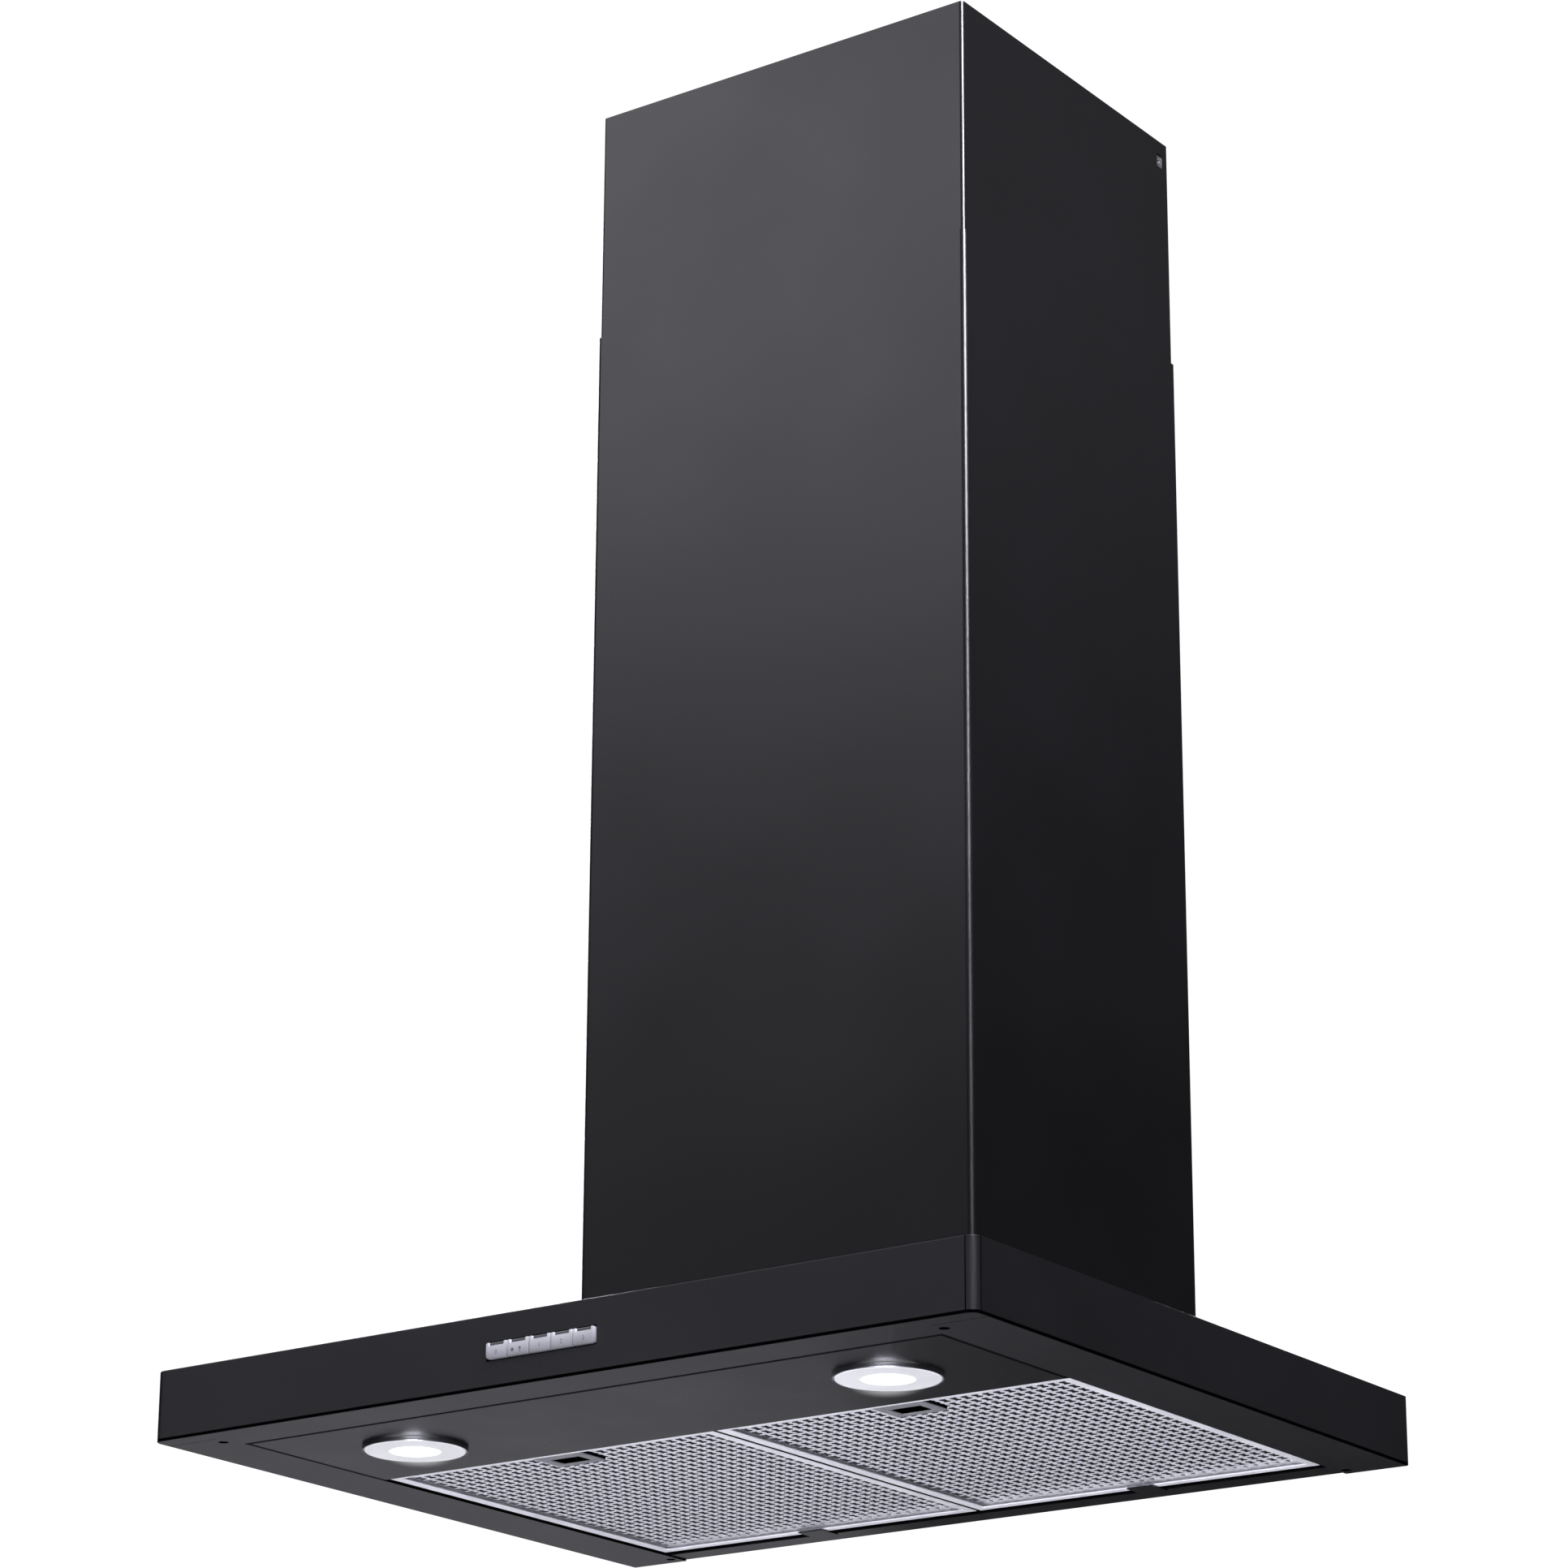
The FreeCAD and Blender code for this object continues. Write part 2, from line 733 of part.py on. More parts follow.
# ---------------------------------------------------------------- grease filters
def filter_frame(side):
    """Folded aluminium channel round the mesh, slotted for the latch's tongue."""
    x = FILTER_X[side]
    half = f"{FILTER_WIDTH} / 2"
    outer = block(
        (f"{x} - {half}", f"{x} + {half}"), (FILTER_FRONT, FILTER_REAR), ("filter_lift", FILTER_TOP)
    )
    channel = block(
        (f"{x} - {half} + filter_sheet", f"{x} + {half} - filter_sheet"),
        (f"{FILTER_FRONT} + filter_sheet", f"{FILTER_REAR} - filter_sheet"),
        ("filter_lift + filter_sheet", f"{FILTER_TOP} - filter_sheet"),
    )
    opening = block(
        (f"{x} - {half} + filter_lip", f"{x} + {half} - filter_lip"),
        (f"{FILTER_FRONT} + filter_lip", f"{FILTER_REAR} - filter_lip"),
        ("filter_lift - 1", f"{FILTER_TOP} + 1"),
    )
    node(f"filter_{side}_frame", cut(outer, channel, opening, tongue_slot(x, "filter_sheet")))


def tongue_slot(x, wall):
    """Clearance for the tongue through the walls at the filter's front edge."""
    return block(
        (f"{x} - tongue_width / 2 - slide_gap", f"{x} + tongue_width / 2 + slide_gap"),
        (f"{FILTER_FRONT} - 1", f"{FILTER_FRONT} + filter_sheet + {wall} + slide_gap"),
        (f"{TONGUE_LOW} - slide_gap", f"{TONGUE_LOW} + slider_thick + slide_gap"),
    )


def filter_mesh(side):
    """Pack of expanded aluminium layers, cut away round the latch."""
    x = FILTER_X[side]
    half = f"{FILTER_WIDTH} / 2 - filter_sheet - slide_gap"
    pack = block(
        (f"{x} - ({half})", f"{x} + {half}"),
        (
            f"{FILTER_FRONT} + filter_sheet + slide_gap",
            f"{FILTER_REAR} - filter_sheet - slide_gap",
        ),
        (MESH_LOW, f"{MESH_LOW} + mesh_thick"),
    )
    notch = block(
        (f"{x} - latch_width / 2 - slide_gap", f"{x} + latch_width / 2 + slide_gap"),
        (FILTER_FRONT, f"{LATCH_REAR} + slide_gap"),
        ("0", FILTER_TOP),
    )
    node(f"filter_{side}_mesh", cut(pack, notch))


LATCH_FRONT = f"{FILTER_FRONT} + filter_sheet"
LATCH_REAR = f"{FILTER_FRONT} + filter_lip + latch_depth"
LATCH_TOP = f"{FILTER_TOP} - filter_sheet - slide_gap"


def latch_cup(side):
    """Plate with a finger opening and the closed cup behind it."""
    x = FILTER_X[side]
    half = "latch_width / 2"
    cup = block((f"{x} - {half}", f"{x} + {half}"), (LATCH_FRONT, LATCH_REAR), (PLATE_LOW, LATCH_TOP))
    hollow = block(
        (f"{x} - {half} + latch_wall", f"{x} + {half} - latch_wall"),
        (f"{LATCH_FRONT} + latch_wall", f"{LATCH_REAR} - latch_wall"),
        (f"{PLATE_LOW} + latch_sheet", f"{LATCH_TOP} - latch_wall"),
    )
    window = block(
        (f"{x} - latch_window_width / 2", f"{x} + latch_window_width / 2"),
        (f"{FILTER_FRONT} + filter_lip", f"{FILTER_FRONT} + filter_lip + latch_window_depth"),
        (f"{PLATE_LOW} - 1", f"{PLATE_LOW} + latch_sheet + slide_gap"),
    )
    node(f"filter_{side}_latch_cup", cut(cup, hollow, window, tongue_slot(x, "latch_wall")))


def latch_slider(side):
    """Finger handle in the opening, its slide above the plate and the tongue in front."""
    x = FILTER_X[side]
    front = f"{FILTER_FRONT} + filter_lip + slide_gap"
    rear = f"{front} + handle_depth"
    handle_half = "(latch_window_width / 2 - slide_gap)"
    handle = block(
        (f"{x} - {handle_half}", f"{x} + {handle_half}"), (front, rear), (PLATE_LOW, TONGUE_LOW)
    )
    height = (TONGUE_LOW, f"{TONGUE_LOW} + slider_thick")
    slide = block((f"{x} - slider_width / 2", f"{x} + slider_width / 2"), (front, rear), height)
    tip = f"{PANEL_REAR} - canopy_sheet - tongue_reach"
    tongue = block((f"{x} - tongue_width / 2", f"{x} + tongue_width / 2"), (tip, rear), height)
    node(f"filter_{side}_latch_slider", fuse(handle, slide, tongue))


# ---------------------------------------------------------------- blower
def blower_box():
    """Sheet box of three panels over the canopy's cut-out, hung on the wall and open below."""
    half = "box_width / 2"
    inside = f"({half} - box_sheet)"
    mouth = f"({half} - box_flange)"
    lid = f"{BOX_TOP} - box_sheet"
    foot = ("canopy_height", "canopy_height + box_sheet")
    drills = [
        rod("screw_radius + screw_gap", (x, y, "canopy_height - 1"), "box_sheet + 2") for x, y in BOX_SCREWS
    ]

    walls = block((f"-{half}", half), ("-box_depth", "-box_sheet"), ("canopy_height", lid))
    hollow = block(
        (f"-{inside}", inside), ("-box_depth + box_sheet", "1"), ("canopy_height + box_sheet", f"{lid} + 1")
    )
    way_in = block(
        (f"-{mouth}", mouth),
        ("-box_depth + box_flange", "1"),
        ("canopy_height - 1", "canopy_height + box_flange"),
    )
    node("blower_wrap", cut(walls, hollow, way_in, *drills))

    plate = block((f"-{half}", half), ("-box_sheet", "0"), ("canopy_height", lid))
    flange = block((f"-{mouth}", mouth), ("-box_flange", "-box_sheet"), foot)
    behind = "-box_sheet - 1"
    hooks = [
        rod("hook_radius", (f"{sign} * hook_spacing / 2", behind, "hook_height"), "box_sheet + 2", "Y")
        for sign in (-1, 1)
    ]
    node("blower_back", cut(fuse(plate, flange), *hooks))

    top = block((f"-{half}", half), ("-box_depth", "0"), (lid, BOX_TOP))
    under = f"{lid} - 1"
    outlet = rod("outlet_radius", ("0", OUTLET_Y, under), "box_sheet + 2")
    lead = rod("gland_radius + slide_gap", (GLAND_X, GLAND_Y, under), "box_sheet + 2")
    collar_holes = [
        rod("screw_radius + screw_gap", (x, y, under), "box_sheet + 2") for x, y in COLLAR_SCREWS
    ]
    node("blower_top", cut(top, outlet, lead, *collar_holes))


GLAND_X = "-box_width / 2 + 3 * gland_radius"
GLAND_Y = "-3 * gland_radius"
COLLAR_CORNER = "(collar_flange - 2 * head_radius)"
COLLAR_SCREWS = [
    (f"{across} * {COLLAR_CORNER}", f"{OUTLET_Y} + {along} * {COLLAR_CORNER}")
    for across in (-1, 1)
    for along in (-1, 1)
]


def fixing_screws():
    """Screws that hold the blower box, the chimney foot and the outlet collar."""
    reach = "canopy_sheet + box_sheet + screw_radius"
    node("blower_screws", group(*[screw(x, y, "canopy_height + box_sheet", reach) for x, y in BOX_SCREWS]))
    node(
        "chimney_screws",
        group(*[screw(x, y, "canopy_height + chimney_sheet", reach) for x, y in CHIMNEY_SCREWS]),
    )
    top = f"{BOX_TOP} + collar_flange_thick"
    reach = "collar_flange_thick + box_sheet + screw_radius"
    node("collar_screws", group(*[screw(x, y, top, reach) for x, y in COLLAR_SCREWS]))


def scroll_solid(start, end, wall):
    """The scroll's outline, a drum with a throat rising from its front, less a wall."""
    reach = f"scroll_radius - ({wall})"
    drum = rod(reach, (start, AXIS_Y, AXIS_Z), f"({end}) - ({start})", "X")
    front = f"{AXIS_Y} - ({reach})"
    rear = f"{AXIS_Y} - scroll_radius + scroll_throat - ({wall})"
    throat = block((start, end), (front, rear), (AXIS_Z, f"{BOX_TOP} - box_sheet"))
    return drum, throat


def scroll_half(side):
    """One moulded half of the scroll, with its inlet."""
    edge = "scroll_width / 2"
    if side == "left":
        outer, inner, hole = (f"-({edge})", "0"), (f"-({edge}) + scroll_wall", "1"), f"-({edge}) - 1"
    else:
        outer, inner, hole = ("0", edge), ("-1", f"{edge} - scroll_wall"), f"{edge} - scroll_wall - 1"
    shell = fuse(*scroll_solid(*outer, "0"))
    hollow = fuse(*scroll_solid(*inner, "scroll_wall"))
    inlet = rod("inlet_radius", (hole, AXIS_Y, AXIS_Z), "scroll_wall + 2", "X")
    tools = [hollow, inlet]
    if side == "left":
        tools += [
            rod("screw_radius + screw_gap", (hole, y, z), "scroll_wall + 2", "X") for y, z in ARM_SCREWS
        ]
    node(f"scroll_{side}", cut(shell, *tools))


ARM_TURNS = (90, 210, 330)
ARM_SCREWS = [
    (f"{AXIS_Y} + arm_screw_place * cos({turn})", f"{AXIS_Z} + arm_screw_place * sin({turn})")
    for turn in ARM_TURNS
]


def impeller():
    """Double-inlet wheel: forward-curved blades through a slotted web and between two end rings."""
    half = "impeller_width / 2"
    reach = "(impeller_radius - blade_depth)"
    blades = []
    for number in range(DIMENSIONS["blade_count"]):
        blade = doc.addObject("Part::Box", "blade")
        bind(blade, "Length", "impeller_width - 2 * web_thick")
        bind(blade, "Width", "blade_depth")
        bind(blade, "Height", "blade_thick")
        spread = 360 / DIMENSIONS["blade_count"] * number
        place(
            blade,
            f"-({half}) + web_thick",
            f"{AXIS_Y} + {reach} * cos({spread})",
            f"{AXIS_Z} + {reach} * sin({spread})",
            Rotation(Vector(1, 0, 0), spread + BLADE_LEAN),
        )
        blades.append(blade)
    rim = rod("impeller_radius", (f"-({half})", AXIS_Y, AXIS_Z), "impeller_width", "X")
    trimmed = doc.addObject("Part::MultiCommon", "trimmed")
    trimmed.Shapes = [group(*blades), rim]
    node("impeller_blades", trimmed)

    web = rod("impeller_radius", ("-web_thick / 2", AXIS_Y, AXIS_Z), "web_thick", "X")
    hub = rod("hub_radius", ("-web_thick / 2", AXIS_Y, AXIS_Z), "hub_length", "X")
    bore = rod("shaft_radius", ("-hub_length", AXIS_Y, AXIS_Z), "3 * hub_length", "X")
    node("impeller_web", cut(fuse(web, hub), bore, *blades))
    rings = [
        tube("impeller_radius", "impeller_radius - impeller_ring", (start, AXIS_Y, AXIS_Z), "web_thick", "X")
        for start in (f"-({half})", f"{half} - web_thick")
    ]
    node("impeller_rings", group(*rings))


BLADE_LEAN = 25
MOTOR_START = "-scroll_width / 2"


def motor():
    """Motor in the wheel's left inlet, its shaft and the arms that hold it."""
    can = rod("motor_radius", (MOTOR_START, AXIS_Y, AXIS_Z), "motor_length", "X")
    bore = rod(
        "shaft_radius + shaft_gap", ("-scroll_width / 2 + arm_sheet", AXIS_Y, AXIS_Z), "motor_length", "X"
    )
    node("motor", cut(can, bore))
    shaft_start = "-scroll_width / 2 + arm_sheet * 2"
    shaft_end = "hub_length + web_thick"
    node(
        "motor_shaft",
        rod("shaft_radius", (shaft_start, AXIS_Y, AXIS_Z), f"{shaft_end} - ({shaft_start})", "X"),
    )
    low = "-scroll_width / 2 - arm_sheet"
    plate = rod("motor_radius", (low, AXIS_Y, AXIS_Z), "arm_sheet", "X")
    arms = []
    for turn in ARM_TURNS:
        arm = doc.addObject("Part::Box", "arm")
        bind(arm, "Length", "arm_sheet")
        bind(arm, "Width", "arm_reach")
        bind(arm, "Height", "arm_width")
        place(
            arm,
            low,
            f"{AXIS_Y} + arm_width / 2 * sin({turn})",
            f"{AXIS_Z} - arm_width / 2 * cos({turn})",
            Rotation(Vector(1, 0, 0), turn),
        )
        arms.append(arm)
    drills = [
        rod("screw_radius + screw_gap", (f"{low} - 1", y, z), "arm_sheet + 2", "X") for y, z in ARM_SCREWS
    ]
    node("motor_bracket", cut(fuse(plate, *arms), *drills))
    screws = [
        fuse(
            rod("screw_radius", (low, y, z), "arm_sheet + scroll_wall + screw_radius", "X"),
            rod("head_radius", (f"{low} - head_height", y, z), "head_height", "X"),
        )
        for y, z in ARM_SCREWS
    ]
    node("bracket_screws", group(*screws))


def capacitor():
    """Run capacitor in a clip on the box's right wall."""
    wall = "box_width / 2 - box_sheet"
    x = f"{wall} - clip_thick - capacitor_radius"
    y = "-box_depth + 3 * capacitor_radius"
    low = "2 * canopy_height"
    can = rod("capacitor_radius", (x, y, low), "capacitor_length")
    node("capacitor", can)
    middle = f"{low} + capacitor_length / 2 - clip_height / 2"
    band = tube("capacitor_radius + clip_thick", "capacitor_radius", (x, y, middle), "clip_height")
    node("capacitor_clip", band)


def terminal_box():
    """Moulded box on the left wall with a screwed cover over the mains terminals."""
    low_x = "-box_width / 2 + box_sheet"
    x = (low_x, f"{low_x} + terminal_depth")
    y = (f"{AXIS_Y} - terminal_length / 2", f"{AXIS_Y} + terminal_length / 2")
    low_z = f"{BOX_TOP} - box_sheet - terminal_height - box_flange"
    z = (low_z, f"{low_z} + terminal_height")
    wall = "terminal_wall"
    inner = block(
        (f"{x[0]} + {wall}", f"{x[1]} + 1"),
        (f"{y[0]} + {wall}", f"{y[1]} - {wall}"),
        (f"{z[0]} + {wall}", f"{z[1]} - {wall}"),
    )
    node("terminal_box", cut(block(x, y, z), inner))
    cover = block((x[1], f"{x[1]} + cover_thick"), y, z)
    lip = block(
        (f"{x[1]} - cover_thick", x[1]),
        (f"{y[0]} + {wall} + slide_gap", f"{y[1]} - {wall} - slide_gap"),
        (f"{z[0]} + {wall} + slide_gap", f"{z[1]} - {wall} - slide_gap"),
    )
    node("terminal_cover", fuse(cover, lip))


def cable_gland():
    """Turned grommet where the mains lead leaves the blower box."""
    low = f"{BOX_TOP} - box_sheet"
    start = (GLAND_X, GLAND_Y, f"{low} - gland_radius / 2")
    neck = rod("gland_radius", start, "gland_radius + box_sheet")
    lower = rod("gland_flange", start, "gland_radius / 2")
    upper = rod("gland_flange", (GLAND_X, GLAND_Y, BOX_TOP), "gland_radius / 2")
    bore = rod("gland_bore", start, "gland_radius + box_sheet")
    node("cable_gland", cut(fuse(neck, lower, upper), bore))


# ---------------------------------------------------------------- outlet
FLAP_Z = f"{BOX_TOP} + collar_flange_thick + damper_height"


def outlet_collar():
    """Moulded spigot for the duct on a square flange."""
    half = "collar_flange"
    flange = block(
        (f"-{half}", half),
        (f"{OUTLET_Y} - {half}", f"{OUTLET_Y} + {half}"),
        (BOX_TOP, f"{BOX_TOP} + collar_flange_thick"),
    )
    spigot = rod("collar_radius", ("0", OUTLET_Y, BOX_TOP), "collar_height")
    bore = rod("collar_radius - collar_wall", ("0", OUTLET_Y, f"{BOX_TOP} - 1"), "collar_height + 2")
    drills = [
        rod("screw_radius + screw_gap", (x, y, f"{BOX_TOP} - 1"), "collar_flange_thick + 2")
        for x, y in COLLAR_SCREWS
    ]
    pin_holes = rod("pin_radius", ("-collar_flange", OUTLET_Y, FLAP_Z), "2 * collar_flange", "X")
    node("outlet_collar", cut(fuse(flange, spigot), bore, pin_holes, *drills))
    pin = rod("pin_radius", ("-collar_radius", OUTLET_Y, FLAP_Z), "2 * collar_radius", "X")
    node("damper_pin", pin)


def damper_flap(side):
    """Half-round flap on the pin, which the air lifts and its weight shuts."""
    sign = -1 if side == "front" else 1
    reach = "(collar_radius - collar_wall - damper_gap)"
    disc = rod(reach, ("0", OUTLET_Y, f"{FLAP_Z} - damper_thick / 2"), "damper_thick")
    near = "knuckle_radius + slide_gap"
    far = "collar_radius"
    if sign < 0:
        half = (f"{OUTLET_Y} - {far}", f"{OUTLET_Y} - ({near})")
    else:
        half = (f"{OUTLET_Y} + {near}", f"{OUTLET_Y} + {far}")
    keep = block((f"-{far}", far), half, (f"{FLAP_Z} - knuckle_radius", f"{FLAP_Z} + knuckle_radius"))
    plate = doc.addObject("Part::MultiCommon", "half_disc")
    plate.Shapes = [disc, keep]
    start = "slide_gap" if sign > 0 else "-knuckle_length - slide_gap"
    barrel = rod("knuckle_radius", (start, OUTLET_Y, FLAP_Z), "knuckle_length", "X")
    leaf_y = (OUTLET_Y, f"{OUTLET_Y} + {near} + 1") if sign > 0 else (f"{OUTLET_Y} - ({near}) - 1", OUTLET_Y)
    leaf = block(
        (start, f"{start} + knuckle_length"),
        leaf_y,
        (f"{FLAP_Z} - damper_thick / 2", f"{FLAP_Z} + damper_thick / 2"),
    )
    bore = rod("pin_radius + shaft_gap", (f"{start} - 1", OUTLET_Y, FLAP_Z), "knuckle_length + 2", "X")
    node(f"damper_flap_{side}", cut(fuse(plate, barrel, leaf), bore))


# ---------------------------------------------------------------- chimney
def lower_chimney():
    """Three-sided cover with a foot flange on the canopy and returns at the wall."""
    body = box_shell(
        "lower_cover",
        "chimney_width / 2",
        CHIMNEY_FRONT,
        "0",
        "canopy_height",
        LOWER_TOP,
        "chimney_corner",
        "chimney_sheet",
        floor="chimney_sheet",
    )
    inner = "chimney_width / 2 - chimney_return"
    back = block(
        (f"-({inner})", inner), ("-2 * chimney_return", "1"), ("canopy_height - 1", f"{LOWER_TOP} + 1")
    )
    foot = block(
        (f"-({inner})", inner),
        (f"{CHIMNEY_FRONT} + chimney_return", "1"),
        ("canopy_height - 1", "canopy_height + chimney_sheet + 1"),
    )
    drills = [
        rod("screw_radius + screw_gap", (x, y, "canopy_height - 1"), "chimney_sheet + 2")
        for x, y in CHIMNEY_SCREWS
    ]
    node("lower_chimney", cut(body, back, foot, *drills))


def upper_chimney():
    """Narrower cover that slides inside the lower one, slotted for its wall bracket."""
    rear = "-(chimney_sheet + slide_gap)"
    low = f"{UPPER_TOP} - upper_length"
    body = box_shell(
        "upper_cover",
        UPPER_HALF,
        f"{CHIMNEY_FRONT} + chimney_sheet + slide_gap",
        rear,
        low,
        UPPER_TOP,
        "chimney_corner - chimney_sheet - slide_gap",
        "chimney_sheet",
    )
    inner = f"{UPPER_HALF} - chimney_sheet"
    back = block((f"-({inner})", inner), ("-2 * chimney_return", "1"), (f"{low} - 1", f"{UPPER_TOP} + 1"))
    end = f"{UPPER_HALF} + 1"
    slots = []
    for span in ((inner, end), (f"-({end})", f"-({inner})")):
        low_x = f"({span[0]}) - 1" if span[0] == inner else span[0]
        high_x = span[1] if span[0] == inner else f"({span[1]}) + 1"
        slots.append(
            block(
                (low_x, high_x),
                ("-slot_gap - slot_width", "-slot_gap"),
                (f"{UPPER_TOP} - slot_drop - slot_height", f"{UPPER_TOP} - slot_drop"),
            )
        )
    node("upper_chimney", cut(body, back, *slots))


def chimney_bracket():
    """Wall bracket inside the top of the upper cover, with threaded ears behind the slots."""
    half = f"({UPPER_HALF} - chimney_sheet - slide_gap)"
    middle = f"{UPPER_TOP} - slot_drop - slot_height / 2"
    height = (f"{middle} - bracket_height / 2", f"{middle} + bracket_height / 2 - bracket_sheet")
    plate = block((f"-{half}", half), ("-bracket_sheet", "0"), height)
    ears = [
        block((f"-{half}", f"-{half} + bracket_sheet"), ("-bracket_ear", "0"), height),
        block((f"{half} - bracket_sheet", half), ("-bracket_ear", "0"), height),
    ]
    slot_y = "-slot_gap - slot_width / 2"
    thread = rod("thread_radius", (f"-{half} - 1", slot_y, middle), f"2 * {half} + 2", "X")
    behind = "-bracket_sheet - 1"
    holes = [
        rod("hook_radius", (f"{sign} * hook_spacing / 2", behind, middle), "bracket_sheet + 2", "Y")
        for sign in (-1, 1)
    ]
    node("chimney_bracket", cut(fuse(plate, *ears), thread, *holes))


# ---------------------------------------------------------------- assembly
canopy_shell()
lamp_panel()
rear_rail()
for side in SIDES:
    lamp_bezel(side)
    lamp_lens(side)
    lamp_module(side)
    filter_frame(side)
    filter_mesh(side)
    latch_cup(side)
    latch_slider(side)
    scroll_half(side)
lamp_clips()
led_driver()
for number in range(DIMENSIONS["button_count"]):
    push_button(number)
control_housing()
switch_board()
microswitches()
blower_box()
fixing_screws()
impeller()
motor()
capacitor()
terminal_box()
cable_gland()
outlet_collar()
for side in ("front", "rear"):
    damper_flap(side)
lower_chimney()
upper_chimney()
chimney_bracket()

doc.recompute()
failed = [thing.Label for thing in doc.Objects if {"Invalid", "Error"} & set(thing.State)]
if failed:
    raise RuntimeError(f"objects that did not build: {failed}")

os.makedirs("parts", exist_ok=True)
for label, thing in nodes:
    shape = thing.Shape
    if shape.isNull() or not shape.isValid() or not shape.Solids:
        raise RuntimeError(f"{label} is not a valid solid")
    shape.exportStep(f"parts/{label}.step")
    print(label, len(shape.Solids), round(shape.Volume, 1))
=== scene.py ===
import math

import bpy
from mathutils import Matrix, Vector


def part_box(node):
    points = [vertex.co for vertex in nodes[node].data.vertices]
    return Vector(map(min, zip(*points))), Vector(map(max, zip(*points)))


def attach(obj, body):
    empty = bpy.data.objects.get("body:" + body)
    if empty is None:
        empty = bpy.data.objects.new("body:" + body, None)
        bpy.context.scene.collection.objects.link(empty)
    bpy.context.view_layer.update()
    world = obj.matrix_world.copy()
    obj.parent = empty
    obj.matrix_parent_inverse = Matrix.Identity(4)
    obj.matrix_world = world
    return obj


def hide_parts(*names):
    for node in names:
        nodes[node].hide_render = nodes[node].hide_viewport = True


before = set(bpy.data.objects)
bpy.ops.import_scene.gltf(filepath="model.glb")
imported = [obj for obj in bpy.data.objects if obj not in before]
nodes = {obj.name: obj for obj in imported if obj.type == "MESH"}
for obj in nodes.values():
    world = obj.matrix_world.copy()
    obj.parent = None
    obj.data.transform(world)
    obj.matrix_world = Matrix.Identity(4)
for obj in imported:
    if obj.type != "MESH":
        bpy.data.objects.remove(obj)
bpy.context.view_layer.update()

# ------------------------------------------------------------------ canopy
# The canopy is a shallow folded steel box in semi-gloss black powder paint, which has a faint
# orange peel. Fine black lines of painted shade run along its hem and round the button window,
# and lines of painted dark reflection lie beside the two folds of its right front corner.
MM = 0.001
HEM_START, HEM_END = 0.02 * MM, 1.82 * MM
WINDOW_RIM = 0.8 * MM
FOLD_RADIUS, FOLD_LINE = 6.3 * MM, 0.4 * MM
# The near-black colour of painted shade and painted dark reflections.
SHADE_BLACK = (0.0005, 0.0005, 0.0006, 1)
STOPS, GRAIN_DEEP = (0.3, 0.7), 0.2 * MM


def surface(name, dark, light, rough, scale=40, metal=0.0, stretch=(1, 1, 1), grain=900, bump=0.05):
    """A finish whose colour and gloss wander a little over a fine grain."""
    material = bpy.data.materials.new(name)
    material.use_nodes = True
    tree = material.node_tree
    wire = tree.links.new
    shader = tree.nodes["Principled BSDF"]
    shader.inputs["Metallic"].default_value = metal
    place = tree.nodes.new("ShaderNodeTexCoord")
    place.name = "place"
    lay = tree.nodes.new("ShaderNodeMapping")
    lay.inputs["Scale"].default_value = stretch
    wire(place.outputs["Object"], lay.inputs["Vector"])

    cloud = tree.nodes.new("ShaderNodeTexNoise")
    cloud.inputs["Scale"].default_value = scale
    cloud.inputs["Detail"].default_value = 4
    wire(lay.outputs["Vector"], cloud.inputs["Vector"])
    tone = tree.nodes.new("ShaderNodeValToRGB")
    tone.name = "tone"
    for end, stop, colour in zip(tone.color_ramp.elements, STOPS, (dark, light)):
        end.position = stop
        end.color = (*colour, 1)
    wire(cloud.outputs["Fac"], tone.inputs["Fac"])
    wire(tone.outputs["Color"], shader.inputs["Base Color"])

    gloss = tree.nodes.new("ShaderNodeMapRange")
    gloss.name = "gloss"
    gloss.inputs["From Min"].default_value = STOPS[0]
    gloss.inputs["From Max"].default_value = STOPS[1]
    gloss.inputs["To Min"].default_value = rough[0]
    gloss.inputs["To Max"].default_value = rough[1]
    wire(cloud.outputs["Fac"], gloss.inputs["Value"])
    wire(gloss.outputs["Result"], shader.inputs["Roughness"])

    fine = tree.nodes.new("ShaderNodeTexNoise")
    fine.inputs["Scale"].default_value = grain
    fine.inputs["Detail"].default_value = 2
    wire(lay.outputs["Vector"], fine.inputs["Vector"])
    relief = tree.nodes.new("ShaderNodeBump")
    relief.inputs["Strength"].default_value = bump
    relief.inputs["Distance"].default_value = GRAIN_DEEP
    wire(fine.outputs["Fac"], relief.inputs["Height"])
    wire(relief.outputs["Normal"], shader.inputs["Normal"])
    return material


def coat(node, material):
    """Give a CAD node one finish all over."""
    mesh = nodes[node].data
    mesh.materials.clear()
    mesh.materials.append(material)


